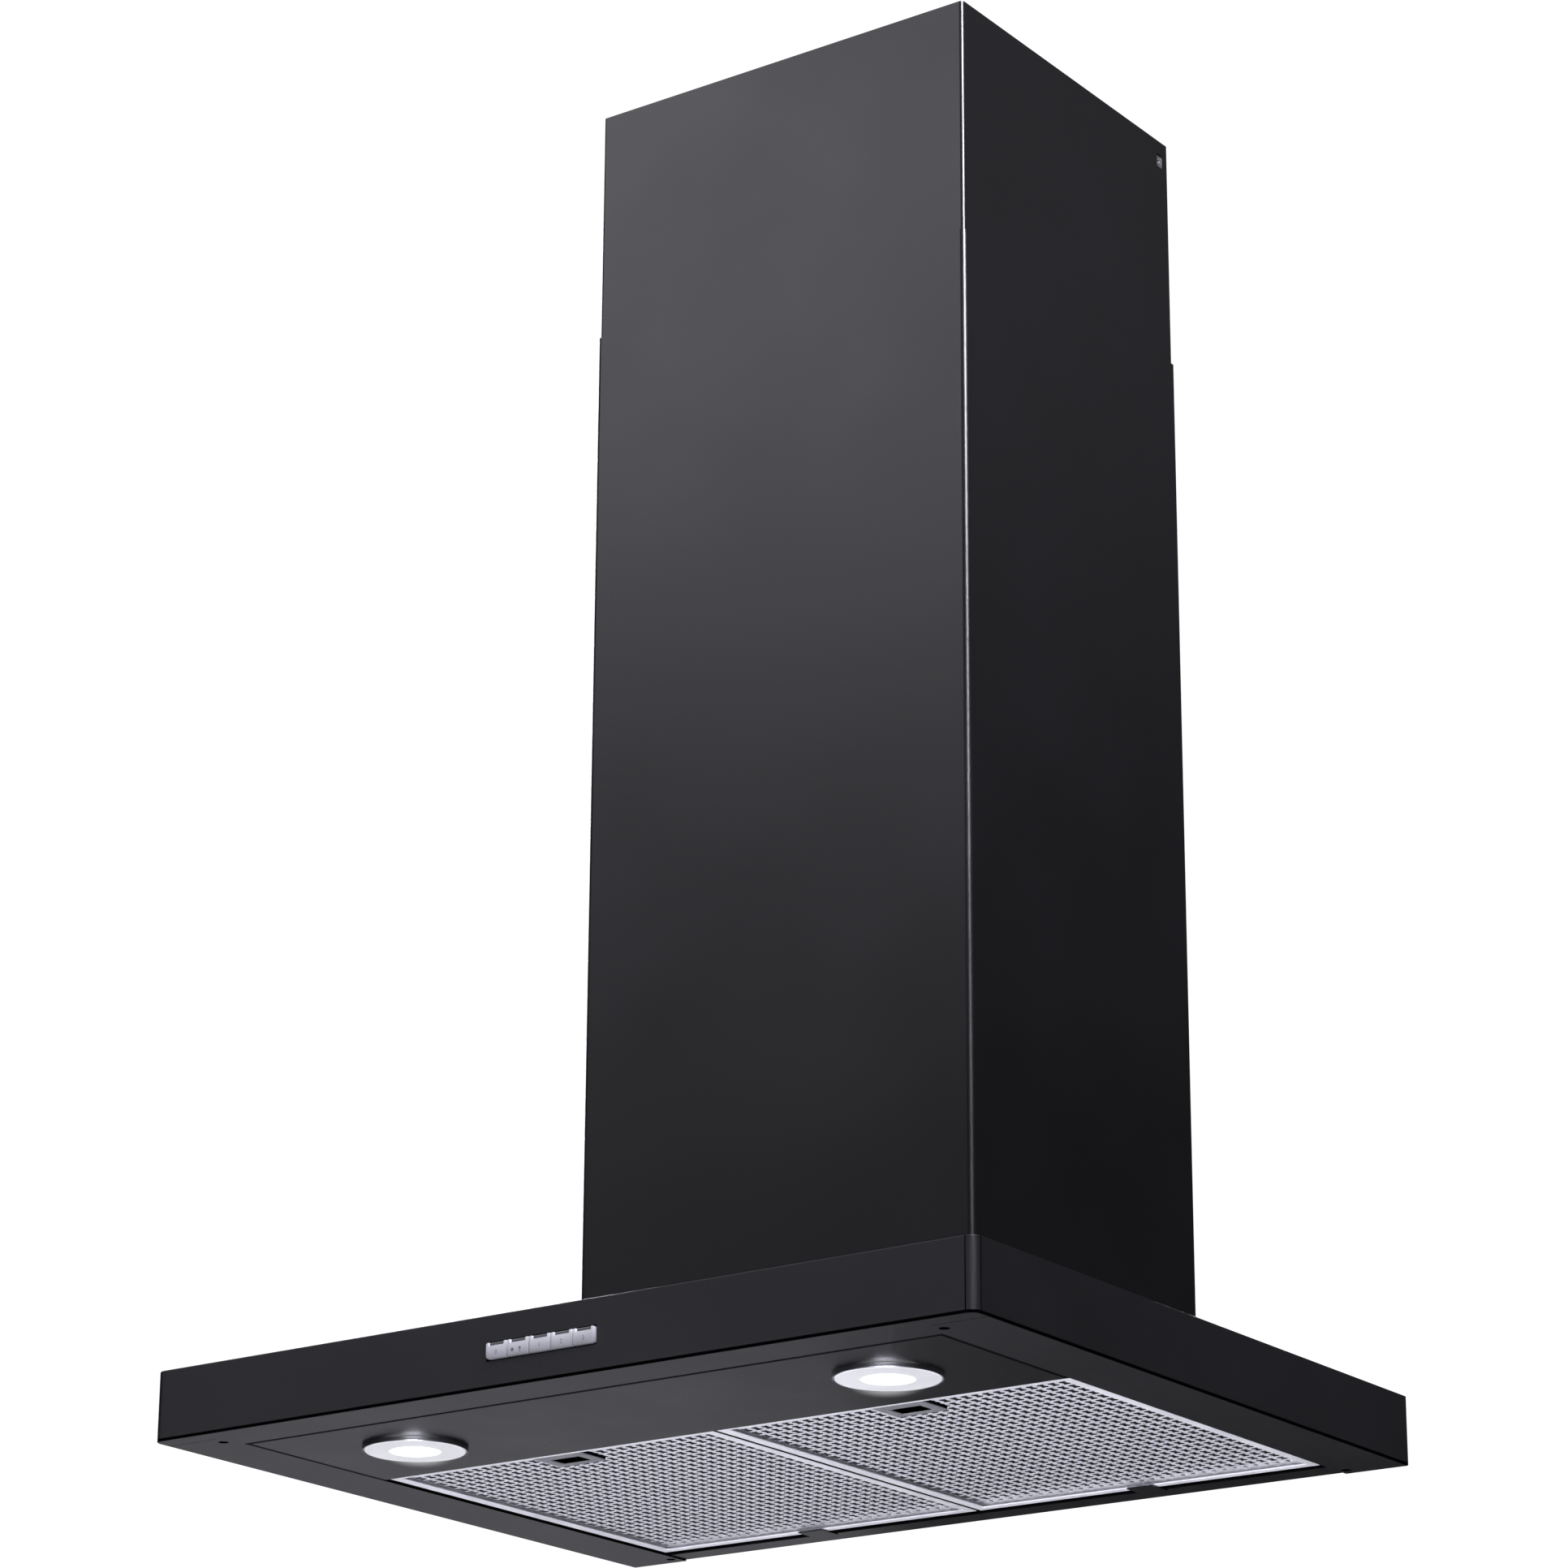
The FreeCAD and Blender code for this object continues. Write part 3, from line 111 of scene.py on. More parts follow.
def painted_shade_line(material, *bands):
    """Paint shade or a dark reflection: turn a finish dull black where all of some bands of (axis, middle,
    half width) overlap.
    """
    tree = material.node_tree
    wire = tree.links.new
    shader = tree.nodes["Principled BSDF"]
    parts = tree.nodes.new("ShaderNodeSeparateXYZ")
    wire(tree.nodes["place"].outputs["Object"], parts.inputs["Vector"])
    inside = None
    for axis, middle, reach in bands:
        band = tree.nodes.new("ShaderNodeMath")
        band.operation = "COMPARE"
        band.inputs[1].default_value = middle
        band.inputs[2].default_value = reach
        wire(parts.outputs[axis], band.inputs[0])
        if inside:
            both = tree.nodes.new("ShaderNodeMath")
            both.operation = "MULTIPLY"
            wire(inside, both.inputs[0])
            wire(band.outputs[0], both.inputs[1])
            band = both
        inside = band.outputs[0]
    dull = (("Base Color", SHADE_BLACK, "RGBA"), ("Roughness", 0.7, "FLOAT"), ("Metallic", 1.0, "FLOAT"))
    for socket, value, kind in dull:
        links = shader.inputs[socket].links
        change = tree.nodes.new("ShaderNodeMix")
        change.data_type = kind
        live = [s for s in change.inputs if s.enabled]
        live[2].default_value = value
        wire(inside, live[0])
        if links:
            wire(links[0].from_socket, live[1])
        else:
            live[1].default_value = shader.inputs[socket].default_value
        wire([s for s in change.outputs if s.enabled][0], shader.inputs[socket])


BLACK, LIT_BLACK = (0.0034, 0.0034, 0.0039), (0.0042, 0.0042, 0.0049)
canopy_paint = surface(
    "canopy_paint", (0.0062, 0.0062, 0.0070), (0.0074, 0.0074, 0.0084), (0.31, 0.36), scale=9
)
front_y, right_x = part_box("canopy_shell")[0][1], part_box("canopy_shell")[1][0]
window_low, window_high = Vector(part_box("button_0")[0]), Vector(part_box("button_4")[1])
window, reach = (window_low + window_high) / 2, (window_high - window_low) / 2
# Painted shade: a black band along the hem, and another round the button window.
painted_shade_line(canopy_paint, ("Z", (HEM_START + HEM_END) / 2, (HEM_END - HEM_START) / 2))
painted_shade_line(
    canopy_paint,
    ("X", window.x, reach.x + WINDOW_RIM),
    ("Y", front_y, 2 * WINDOW_RIM),
    ("Z", window.z, reach.z + WINDOW_RIM),
)
# Painted dark reflections: black lines along the two folds of the right front corner.
painted_shade_line(canopy_paint, ("X", right_x - FOLD_RADIUS, FOLD_LINE), ("Y", front_y, FOLD_LINE))
painted_shade_line(canopy_paint, ("X", right_x, FOLD_LINE), ("Y", front_y + FOLD_RADIUS, FOLD_LINE))
coat("canopy_shell", canopy_paint)

# ------------------------------------------------------------------ lamp panel and rear rail
# Two loose strips of the same painted sheet: one carries the lamps and closes the front third
# of the mouth, the other runs along the wall with two joggled tabs under the filters. The joints
# to the canopy's rims are painted black as shade in the gaps, and the lamps throw a little light
# on the panel around them.
SIDE_RIM = 44 * MM
SEAM = 3 * MM
SPILL_SIZE, SPILL_TURN = (27 * MM, 54 * MM, 500 * MM), math.radians(35)
SPILL_SHIFT = Vector((-6 * MM, 8 * MM, 0))
SPILL_FADE, SPILL_GLOW = 1.6, 1.9
strip_paint = surface("strip_paint", BLACK, LIT_BLACK, (0.27, 0.33), scale=12)
coat("rear_rail", strip_paint)
panel_paint = surface("panel_paint", BLACK, LIT_BLACK, (0.27, 0.33), scale=12)
# Painted shade: black bands along the panel's joints to the side rims and the front rim.
for x in (SIDE_RIM - right_x, right_x - SIDE_RIM):
    painted_shade_line(panel_paint, ("X", x, SEAM))
painted_shade_line(panel_paint, ("Y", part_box("lamp_panel")[0][1], SEAM))
coat("lamp_panel", panel_paint)


def spill(material, centres):
    """The lamps' light on the paint around them, fading outward."""
    tree = material.node_tree
    wire = tree.links.new
    total = None
    for centre in centres:
        around = tree.nodes.new("ShaderNodeMapping")
        around.vector_type = "TEXTURE"
        around.inputs["Location"].default_value = centre
        around.inputs["Scale"].default_value = SPILL_SIZE
        around.inputs["Rotation"].default_value[2] = SPILL_TURN
        wire(tree.nodes["place"].outputs["Object"], around.inputs["Vector"])
        ball = tree.nodes.new("ShaderNodeTexGradient")
        ball.gradient_type = "SPHERICAL"
        wire(around.outputs["Vector"], ball.inputs["Vector"])
        soft = tree.nodes.new("ShaderNodeMath")
        soft.operation = "POWER"
        soft.inputs[1].default_value = SPILL_FADE
        wire(ball.outputs["Fac"], soft.inputs[0])
        if total:
            both = tree.nodes.new("ShaderNodeMath")
            wire(total, both.inputs[0])
            wire(soft.outputs[0], both.inputs[1])
            soft = both
        total = soft.outputs[0]
    shader = tree.nodes["Principled BSDF"]
    wire(total, shader.inputs["Emission Color"])
    shader.inputs["Emission Strength"].default_value = SPILL_GLOW


centres = []
for side in ("left", "right"):
    low, high = (Vector(c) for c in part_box(f"lamp_{side}_lens"))
    centres.append(((low.x + high.x) / 2 + SPILL_SHIFT.x, (low.y + high.y) / 2 + SPILL_SHIFT.y, 0))
spill(panel_paint, centres)

# ------------------------------------------------------------------ lamps
# Each lamp is a chromed ring pressed up into the panel, a lit opal glass, and a finned die-cast
# heat sink behind it, held by two spring clips. The glass is bright over its diode.
FULL = 2 * math.pi
WELD = 0.005 * MM
LENS_COLLAR, RING_WALL, EDGE = 27.7 * MM, 1.2 * MM, 0.5 * MM
SINK_FOOT, SINK_CORE = 3 * MM, 9 * MM
FINS, FIN_THICK = 20, 1.2 * MM
GLASS_DISH, GLASS_GLOW = 0.04 * MM, 1.6
GLASS_DIM, DIM_END, BRIGHT_START = 0.18, 0.46, 0.62


def only(piece):
    """Leave one object selected and active."""
    bpy.ops.object.select_all(action="DESELECT")
    piece.select_set(True)
    bpy.context.view_layer.objects.active = piece


def settle(piece):
    """Put the object at the origin, unturned and unscaled, with its place in its mesh."""
    only(piece)
    bpy.ops.object.transform_apply(location=True, rotation=True, scale=True)
    return piece


def turned(name, centre, profile, steps=72, turn=(0, 0, 0)):
    """Draw half a section of (radius, height) points from one vertex and spin it round."""
    bpy.ops.object.select_all(action="DESELECT")
    bpy.ops.mesh.primitive_plane_add(size=MM)
    piece = bpy.context.object
    piece.name = piece.data.name = name
    bpy.ops.object.mode_set(mode="EDIT")
    bpy.ops.mesh.select_mode(type="VERT")
    bpy.ops.mesh.select_all(action="SELECT")
    bpy.ops.mesh.merge(type="CENTER")
    bpy.ops.transform.translate(value=(profile[0][0], 0, profile[0][1]))
    for (old_r, old_z), (new_r, new_z) in zip(profile, profile[1:]):
        step = (new_r - old_r, 0, new_z - old_z)
        bpy.ops.mesh.extrude_region_move(TRANSFORM_OT_translate={"value": step})
    bpy.ops.mesh.select_all(action="SELECT")
    bpy.ops.mesh.spin(steps=steps, angle=FULL, center=(0, 0, 0), axis=(0, 0, 1))
    bpy.ops.mesh.select_all(action="SELECT")
    bpy.ops.mesh.remove_doubles(threshold=WELD)
    bpy.ops.mesh.normals_make_consistent(inside=False)
    bpy.ops.object.mode_set(mode="OBJECT")
    piece.rotation_euler = turn
    piece.location = centre
    settle(piece)
    bpy.ops.object.shade_smooth_by_angle(angle=math.radians(35))
    return piece


def block(name, low, high, rounding=0.0, segments=2):
    """A block between two corners, its edges rounded by a bevel."""
    low, high = Vector(low), Vector(high)
    bpy.ops.object.select_all(action="DESELECT")
    bpy.ops.mesh.primitive_cube_add(size=1, location=(low + high) / 2)
    piece = bpy.context.object
    piece.name = piece.data.name = name
    piece.scale = high - low
    settle(piece)
    if rounding:
        bevel(piece, rounding, segments)
    return piece


def bevel(piece, width, segments=2, angle=40):
    """Round the sharp edges of a piece with a bevel modifier and apply it."""
    only(piece)
    soft = piece.modifiers.new("edges", "BEVEL")
    soft.width = width
    soft.segments = segments
    soft.limit_method = "ANGLE"
    soft.angle_limit = math.radians(angle)
    bpy.ops.object.modifier_apply(modifier=soft.name)
    bpy.ops.object.shade_smooth_by_angle(angle=math.radians(50))


def join(pieces, name=None):
    """One object from several."""
    bpy.ops.object.select_all(action="DESELECT")
    for piece in pieces:
        piece.select_set(True)
    bpy.context.view_layer.objects.active = pieces[0]
    bpy.ops.object.join()
    if name:
        pieces[0].name = pieces[0].data.name = name
    return pieces[0]


def fit(piece, body, slot, material, *stands_for):
    """Finish a new piece and put it on its body."""
    piece.data.materials.clear()
    piece.data.materials.append(material)
    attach(piece, body)
    if stands_for:
        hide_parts(*stands_for)


def corner(radius, centre_r, centre_z, first, last, count=5):
    """Points of a rounded corner of a section, from one angle to another in degrees."""
    turns = [math.radians(first + (last - first) * n / (count - 1)) for n in range(count)]
    return [(centre_r + radius * math.cos(t), centre_z + radius * math.sin(t)) for t in turns]


def lit_glass(name, centre, radius):
    """Opal glass, lit over the diode in its middle and dim near its ring."""
    material = surface(name, (0.48, 0.48, 0.50), (0.54, 0.54, 0.56), (0.10, 0.16), grain=300, bump=0.02)
    tree = material.node_tree
    wire = tree.links.new
    middle = tree.nodes.new("ShaderNodeMapping")
    middle.vector_type = "TEXTURE"
    middle.inputs["Location"].default_value = centre
    middle.inputs["Scale"].default_value = (radius, radius, radius)
    wire(tree.nodes["place"].outputs["Object"], middle.inputs["Vector"])
    ball = tree.nodes.new("ShaderNodeTexGradient")
    ball.gradient_type = "SPHERICAL"
    wire(middle.outputs["Vector"], ball.inputs["Vector"])
    glow = tree.nodes.new("ShaderNodeValToRGB")
    stops = glow.color_ramp.elements
    stops[0].color = (GLASS_DIM, GLASS_DIM, GLASS_DIM, 1)
    stops[1].color = (1, 1, 1, 1)
    for place, level in ((DIM_END, GLASS_DIM), (BRIGHT_START, 1)):
        stops.new(place).color = (level, level, level, 1)
    wire(ball.outputs["Fac"], glow.inputs["Fac"])
    shader = tree.nodes["Principled BSDF"]
    wire(glow.outputs["Color"], shader.inputs["Emission Color"])
    shader.inputs["Emission Strength"].default_value = GLASS_GLOW
    return material


chrome = surface(
    "ring_chrome", (0.40, 0.40, 0.43), (0.46, 0.46, 0.49), (0.26, 0.32), metal=1.0, grain=200, bump=0.01
)
cast_alloy = surface(
    "cast_alloy", (0.30, 0.30, 0.32), (0.42, 0.42, 0.44), (0.45, 0.6), metal=1.0, grain=2500, bump=0.3
)
spring_steel = surface(
    "spring_steel", (0.42, 0.43, 0.46), (0.58, 0.59, 0.61), (0.22, 0.34), metal=1.0, stretch=(1, 14, 1)
)
coat("lamp_clips", spring_steel)
for side in ("left", "right"):
    low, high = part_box(f"lamp_{side}_lens")
    middle = ((low[0] + high[0]) / 2, (low[1] + high[1]) / 2, low[2])
    radius, thick = (high[0] - low[0]) / 2, high[2] - low[2]
    low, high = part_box(f"lamp_{side}_bezel")
    outer, tall = (high[0] - low[0]) / 2, high[2] - low[2]
    flange, inner = -low[2], outer - RING_WALL
    profile = [(inner, thick), (inner, EDGE), (inner + EDGE, 0)]
    profile += corner(EDGE, outer - EDGE, EDGE, -90, 0)
    profile += corner(EDGE, outer - EDGE, flange - EDGE, 0, 90)
    profile += [(LENS_COLLAR, flange), (LENS_COLLAR, tall), (LENS_COLLAR - RING_WALL, tall)]
    profile += [(LENS_COLLAR - RING_WALL, thick), (inner, thick)]
    ring = turned(f"lamp_{side}_ring", (middle[0], middle[1], low[2]), profile, steps=96)
    fit(ring, "canopy", "chrome", chrome, f"lamp_{side}_bezel")
    profile = [(0, 0), (radius / 2, 0), (radius - 2 * EDGE, GLASS_DISH)]
    profile += corner(EDGE, radius - EDGE, EDGE, -80, 0) + [(radius, thick), (0, thick)]
    glass = turned(f"lamp_{side}_glass", middle, profile)
    opal = lit_glass(f"opal_glass_{side}", middle, radius)
    fit(glass, "canopy", "opal_glass", opal, f"lamp_{side}_lens")

    low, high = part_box(f"lamp_{side}_module")
    radius, tall = (high[0] - low[0]) / 2, high[2] - low[2]
    profile = [(0, 0), (radius, 0), (radius, SINK_FOOT - EDGE)]
    profile += corner(EDGE, radius - EDGE, SINK_FOOT - EDGE, 0, 90, 3)
    profile += [(SINK_CORE, SINK_FOOT), (SINK_CORE, tall - EDGE), (SINK_CORE - EDGE, tall), (0, tall)]
    sink = turned(f"lamp_{side}_heat_sink", (middle[0], middle[1], low[2]), profile, steps=48)
    fin = block(
        "fin",
        (SINK_CORE - MM, -FIN_THICK / 2, SINK_FOOT - MM),
        (radius - MM, FIN_THICK / 2, tall),
        rounding=0.2 * MM,
        segments=1,
    )
    only(fin)
    bpy.ops.object.mode_set(mode="EDIT")
    bpy.ops.mesh.select_all(action="SELECT")
    bpy.ops.mesh.spin(steps=FINS, dupli=True, angle=FULL, center=(0, 0, 0), axis=(0, 0, 1))
    bpy.ops.mesh.select_all(action="SELECT")
    bpy.ops.mesh.remove_doubles(threshold=WELD)
    bpy.ops.object.mode_set(mode="OBJECT")
    fin.location = (middle[0], middle[1], low[2])
    settle(fin)
    fit(join([sink, fin]), "canopy", "heat_sink", cast_alloy, f"lamp_{side}_module")

# ------------------------------------------------------------------ lamp driver
# The driver's off-white moulded case stands on top of the lamp panel. Its lid closes on a fine
# joint along both sides and has a row of cooling grooves in its top.
CASE_EDGE = 1.5 * MM
LID_TALL, JOINT_DEEP, JOINT_TALL = 5 * MM, 0.3 * MM, 0.5 * MM
GROOVES, GROOVE_PITCH, GROOVE_WIDE, GROOVE_DEEP = 9, 4 * MM, 1.6 * MM, 0.8 * MM
GROOVE_START, GROOVE_END = 20 * MM, 4 * MM


def carve(piece, *cutters):
    """Cut tools out of a piece and throw the tools away."""
    for cutter in cutters:
        only(piece)
        cutting = piece.modifiers.new("cut", "BOOLEAN")
        cutting.operation = "DIFFERENCE"
        cutting.solver = "EXACT"
        cutting.object = cutter
        bpy.ops.object.modifier_apply(modifier=cutting.name)
        bpy.data.objects.remove(cutter)
    return piece


driver_case = surface(
    "driver_case", (0.66, 0.66, 0.63), (0.72, 0.72, 0.69), (0.42, 0.52), grain=1800, bump=0.2
)
low, high = (Vector(c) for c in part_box("led_driver"))
case = block("led_driver_case", low, high, CASE_EDGE, 3)
cutters = []
for n in range(GROOVES):
    x = low.x + GROOVE_START + n * GROOVE_PITCH
    start = (x, low.y + GROOVE_END, high.z - GROOVE_DEEP)
    cutters.append(block("groove", start, (x + GROOVE_WIDE, high.y - GROOVE_END, high.z + MM)))
joint = high.z - LID_TALL
for y in (low.y, high.y):
    start = (low.x - MM, y - JOINT_DEEP, joint)
    cutters.append(block("groove", start, (high.x + MM, y + JOINT_DEEP, joint + JOINT_TALL)))
fit(carve(case, *cutters), "canopy", "white_plastic", driver_case, "led_driver")

# ------------------------------------------------------------------ push-button switch
# Five satin caps stand side by side in a black moulded housing behind the canopy's front. Each
# has a finger notch along its top edge and a small grey mark, and pushes a switch on the board.
# The first and the last cap are rounded at the ends of the row.
LAST = 4
CAP_DEEP, CAP_EDGE = 7.5 * MM, 0.35 * MM
END_LOW, END_HIGH = 2.6 * MM, 1.4 * MM
NOTCH_WIDE, NOTCH_TALL, NOTCH_DEEP = 10.8 * MM, 2.0 * MM, 1.3 * MM
NOTCH_LIP, NOTCH_SLACK = 0.4 * MM, 0.1 * MM
STEM_WIDE, STEM_START = 4 * MM, 6 * MM
STEM_LOW, STEM_HIGH, STEM_EDGE = 20 * MM, 24 * MM, 0.3 * MM
MARK_TALL, MARK_DROP, MARK_THICK = 3.8 * MM, 1.4 * MM, 0.02 * MM
MATCH = 0.01 * MM
housing_black = surface(
    "housing_black", (0.012, 0.012, 0.013), (0.02, 0.02, 0.021), (0.5, 0.62), grain=2000, bump=0.25
)
coat("control_housing", housing_black)
coat("microswitches", housing_black)
solder_mask = surface(
    "solder_mask", (0.010, 0.075, 0.028), (0.020, 0.12, 0.05), (0.25, 0.4), scale=420, bump=0.15
)
coat("switch_board", solder_mask)

cap_silver = surface(
    "cap_silver",
    (0.18, 0.18, 0.195),
    (0.47, 0.47, 0.50),
    (0.30, 0.38),
    scale=160,
    metal=0.35,
    grain=3000,
    bump=0.06,
)
# Painted light and shade: each cap is coloured darker at its bottom and lighter at its top.
cap_nodes = cap_silver.node_tree
height = cap_nodes.nodes.new("ShaderNodeSeparateXYZ")
cap_nodes.links.new(cap_nodes.nodes["place"].outputs["Object"], height.inputs["Vector"])
painted_light_fade = cap_nodes.nodes.new("ShaderNodeMapRange")
low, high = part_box("button_0")
painted_light_fade.inputs["From Min"].default_value = low[2]
painted_light_fade.inputs["From Max"].default_value = high[2]
painted_light_fade.inputs["To Min"].default_value = STOPS[0]
painted_light_fade.inputs["To Max"].default_value = STOPS[1]
cap_nodes.links.new(height.outputs["Z"], painted_light_fade.inputs["Value"])
cap_nodes.links.new(painted_light_fade.outputs["Result"], cap_nodes.nodes["tone"].inputs["Fac"])
# Painted shade: the faces inside each finger notch are coloured near black.
notch_painted_shade = surface("notch_painted_shade", (0.030, 0.030, 0.034), (0.05, 0.05, 0.056), (0.4, 0.5), scale=300)
mark_grey = surface("mark_grey", (0.05, 0.05, 0.055), (0.08, 0.08, 0.09), (0.5, 0.6), scale=900)


def pick(piece, kind, test):
    """Enter edit mode with only the faces, edges or vertices selected that pass a test."""
    only(piece)
    bpy.ops.object.mode_set(mode="EDIT")
    bpy.ops.mesh.select_mode(type=kind)
    bpy.ops.mesh.select_all(action="DESELECT")
    bpy.ops.object.mode_set(mode="OBJECT")
    mesh = piece.data
    if kind == "FACE":
        for face in mesh.polygons:
            face.select = test(face.center)
    elif kind == "VERT":
        for vertex in mesh.vertices:
            vertex.select = test(vertex.co)
    else:
        for edge in mesh.edges:
            edge.select = test(*(mesh.vertices[v].co for v in edge.vertices))
    bpy.ops.object.mode_set(mode="EDIT")


def round_corner(piece, x, z, radius):
    """Round the corner of a cap that runs back from one place on its front."""
    pick(piece, "EDGE", lambda a, b: all(abs(p.x - x) < MATCH and abs(p.z - z) < MATCH for p in (a, b)))
    bpy.ops.mesh.bevel(offset=radius, segments=5)
    bpy.ops.object.mode_set(mode="OBJECT")


def mark(name, text, x, y, z):
    """A number printed flat on a cap's front."""
    bpy.ops.object.select_all(action="DESELECT")
    bpy.ops.object.text_add(location=(x, y, z), rotation=(math.pi / 2, 0, 0))
    label = bpy.context.object
    label.data.body = text
    label.data.size = MARK_TALL
    label.data.align_x = "CENTER"
    label.data.align_y = "CENTER"
    label.data.extrude = MARK_THICK
    bpy.ops.object.convert(target="MESH")
    label.name = label.data.name = name
    return settle(label)


def lamp_mark(name, x, y, z):
    """A dot and the sign of a lamp: a globe over the two lines of its cap, in millimetres."""
    dot, globe = (-3.9, 0, 1.15), (1.6, 0.4, 0.9)
    cap_left, cap_right, cap_line = 1.0, 2.2, 0.3
    shapes = []
    for dx, dz, radius in (dot, globe):
        bpy.ops.object.select_all(action="DESELECT")
        bpy.ops.mesh.primitive_cylinder_add(
            vertices=24,
            radius=radius * MM,
            depth=2 * MARK_THICK,
            location=(x + dx * MM, y, z + dz * MM),
            rotation=(math.pi / 2, 0, 0),
        )
        shapes.append(settle(bpy.context.object))
    for drop in (0.95, 1.45):
        start = (x + cap_left * MM, y - MARK_THICK, z - (drop + cap_line) * MM)
        shapes.append(block("cap_line", start, (x + cap_right * MM, y + MARK_THICK, z - drop * MM)))
    return join(shapes, name)


for n in range(LAST + 1):
    low, high = (Vector(c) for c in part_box(f"button_{n}"))
    front, centre = low.y, (low.x + high.x) / 2
    cap = block(f"button_{n}_cap", low, (high.x, front + CAP_DEEP, high.z))
    if n in (0, LAST):
        outer = low.x if n == 0 else high.x
        round_corner(cap, outer, low.z, END_LOW)
        round_corner(cap, outer, high.z, END_HIGH)
    notch = block(
        "notch",
        (centre - NOTCH_WIDE / 2, front - MM, high.z - NOTCH_TALL),
        (centre + NOTCH_WIDE / 2, front + NOTCH_DEEP, high.z + MM),
    )
    carve(cap, notch)
    bevel(cap, CAP_EDGE, 3, angle=50)
    start = (centre - STEM_WIDE / 2, front + STEM_START, STEM_LOW)
    stem = block("stem", start, (centre + STEM_WIDE / 2, high.y, STEM_HIGH), STEM_EDGE)
    join([cap, stem])
    fit(cap, f"button_{n}", "silver_plastic", cap_silver, f"button_{n}")
    cap.data.materials.append(notch_painted_shade)
    for face in cap.data.polygons:
        x, y, z = face.center
        across = abs(x - centre) < NOTCH_WIDE / 2 - NOTCH_SLACK
        behind = front + NOTCH_LIP < y < front + NOTCH_DEEP + NOTCH_SLACK
        if across and behind and z > high.z - NOTCH_TALL:
            face.material_index = 1
    mark_y, mark_z = front - MARK_THICK / 2, (low.z + high.z) / 2 - MARK_DROP
    if n == 1:
        sign = lamp_mark("button_1_mark", centre, mark_y, mark_z)
    else:
        sign = mark(f"button_{n}_mark", str(n - (n > 0)), centre, mark_y, mark_z)
    fit(sign, f"button_{n}", "black_plastic", mark_grey)

# ------------------------------------------------------------------ grease filters
# Each filter is a pack of expanded aluminium sheets in a bright channel frame. A pressed cup,
# with painted shade inside, holds a sprung latch at its front, and its rear edge rests on a tab
# of the rear rail. The gap between the two frames is painted black as shade.
CELL = (7.6 * MM, 10.5 * MM)
STRAND = 1.2 * MM
SHEET = 0.15 * MM
# The right flank of one waisted hole, front to rear, in millimetres from the middle of its cell;
# the left flank is the same turned half round.
FLANK = ((1.10, -5.10), (2.73, -4.02), (1.81, -1.35), (2.10, 0.04), (3.20, 1.39), (1.45, 3.99))
GUTTER = 15 * MM
OUTER_DEEP, INNER_DEEP = 0.5 * MM, 2.1 * MM
CUP_PLATE, CUP_GAP = 0.85 * MM, 0.4 * MM
LIP_EDGE, LIP_MIDDLE, LIP_REACH = 0.3 * MM, 6.5 * MM, 5 * MM
frame_alloy = surface(
    "frame_alloy",
    (0.84, 0.84, 0.87),
    (0.93, 0.93, 0.95),
    (0.30, 0.40),
    scale=30,
    metal=0.15,
    stretch=(1, 1, 6),
    grain=700,
)
half_gap = -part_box("filter_left_frame")[1][0]
# Painted shade: the two frames' facing walls in the gap between the filters are coloured black.
painted_shade_line(frame_alloy, ("X", 0, half_gap + LIP_EDGE), ("Z", LIP_MIDDLE, LIP_REACH))
mesh_alloy = surface(
    "mesh_alloy", (0.64, 0.64, 0.68), (0.77, 0.77, 0.81), (0.25, 0.42), scale=220, metal=0.15, grain=1500
)
# Painted shade: the inner and back sheets of the pack are coloured near black, so the holes read dark.
inner_sheet_shade = surface(
    "inner_sheet_shade", (0.020, 0.020, 0.022), (0.035, 0.035, 0.038), (0.5, 0.7), scale=220, grain=1500
)
latch_grey, cup_grey = (
    surface(name, (0.17, 0.17, 0.185), (0.21, 0.21, 0.225), (0.36, 0.46), scale=90, grain=1600)
    for name in ("latch_grey", "cup_grey")
)
# Painted shade: the cup is coloured black above its bottom plate, on the walls inside it.
cup_low, cup_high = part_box("filter_left_latch_cup")
dark = (cup_high[2] - cup_low[2] - CUP_PLATE) / 2
painted_shade_line(cup_grey, ("Z", cup_high[2] - dark, dark))


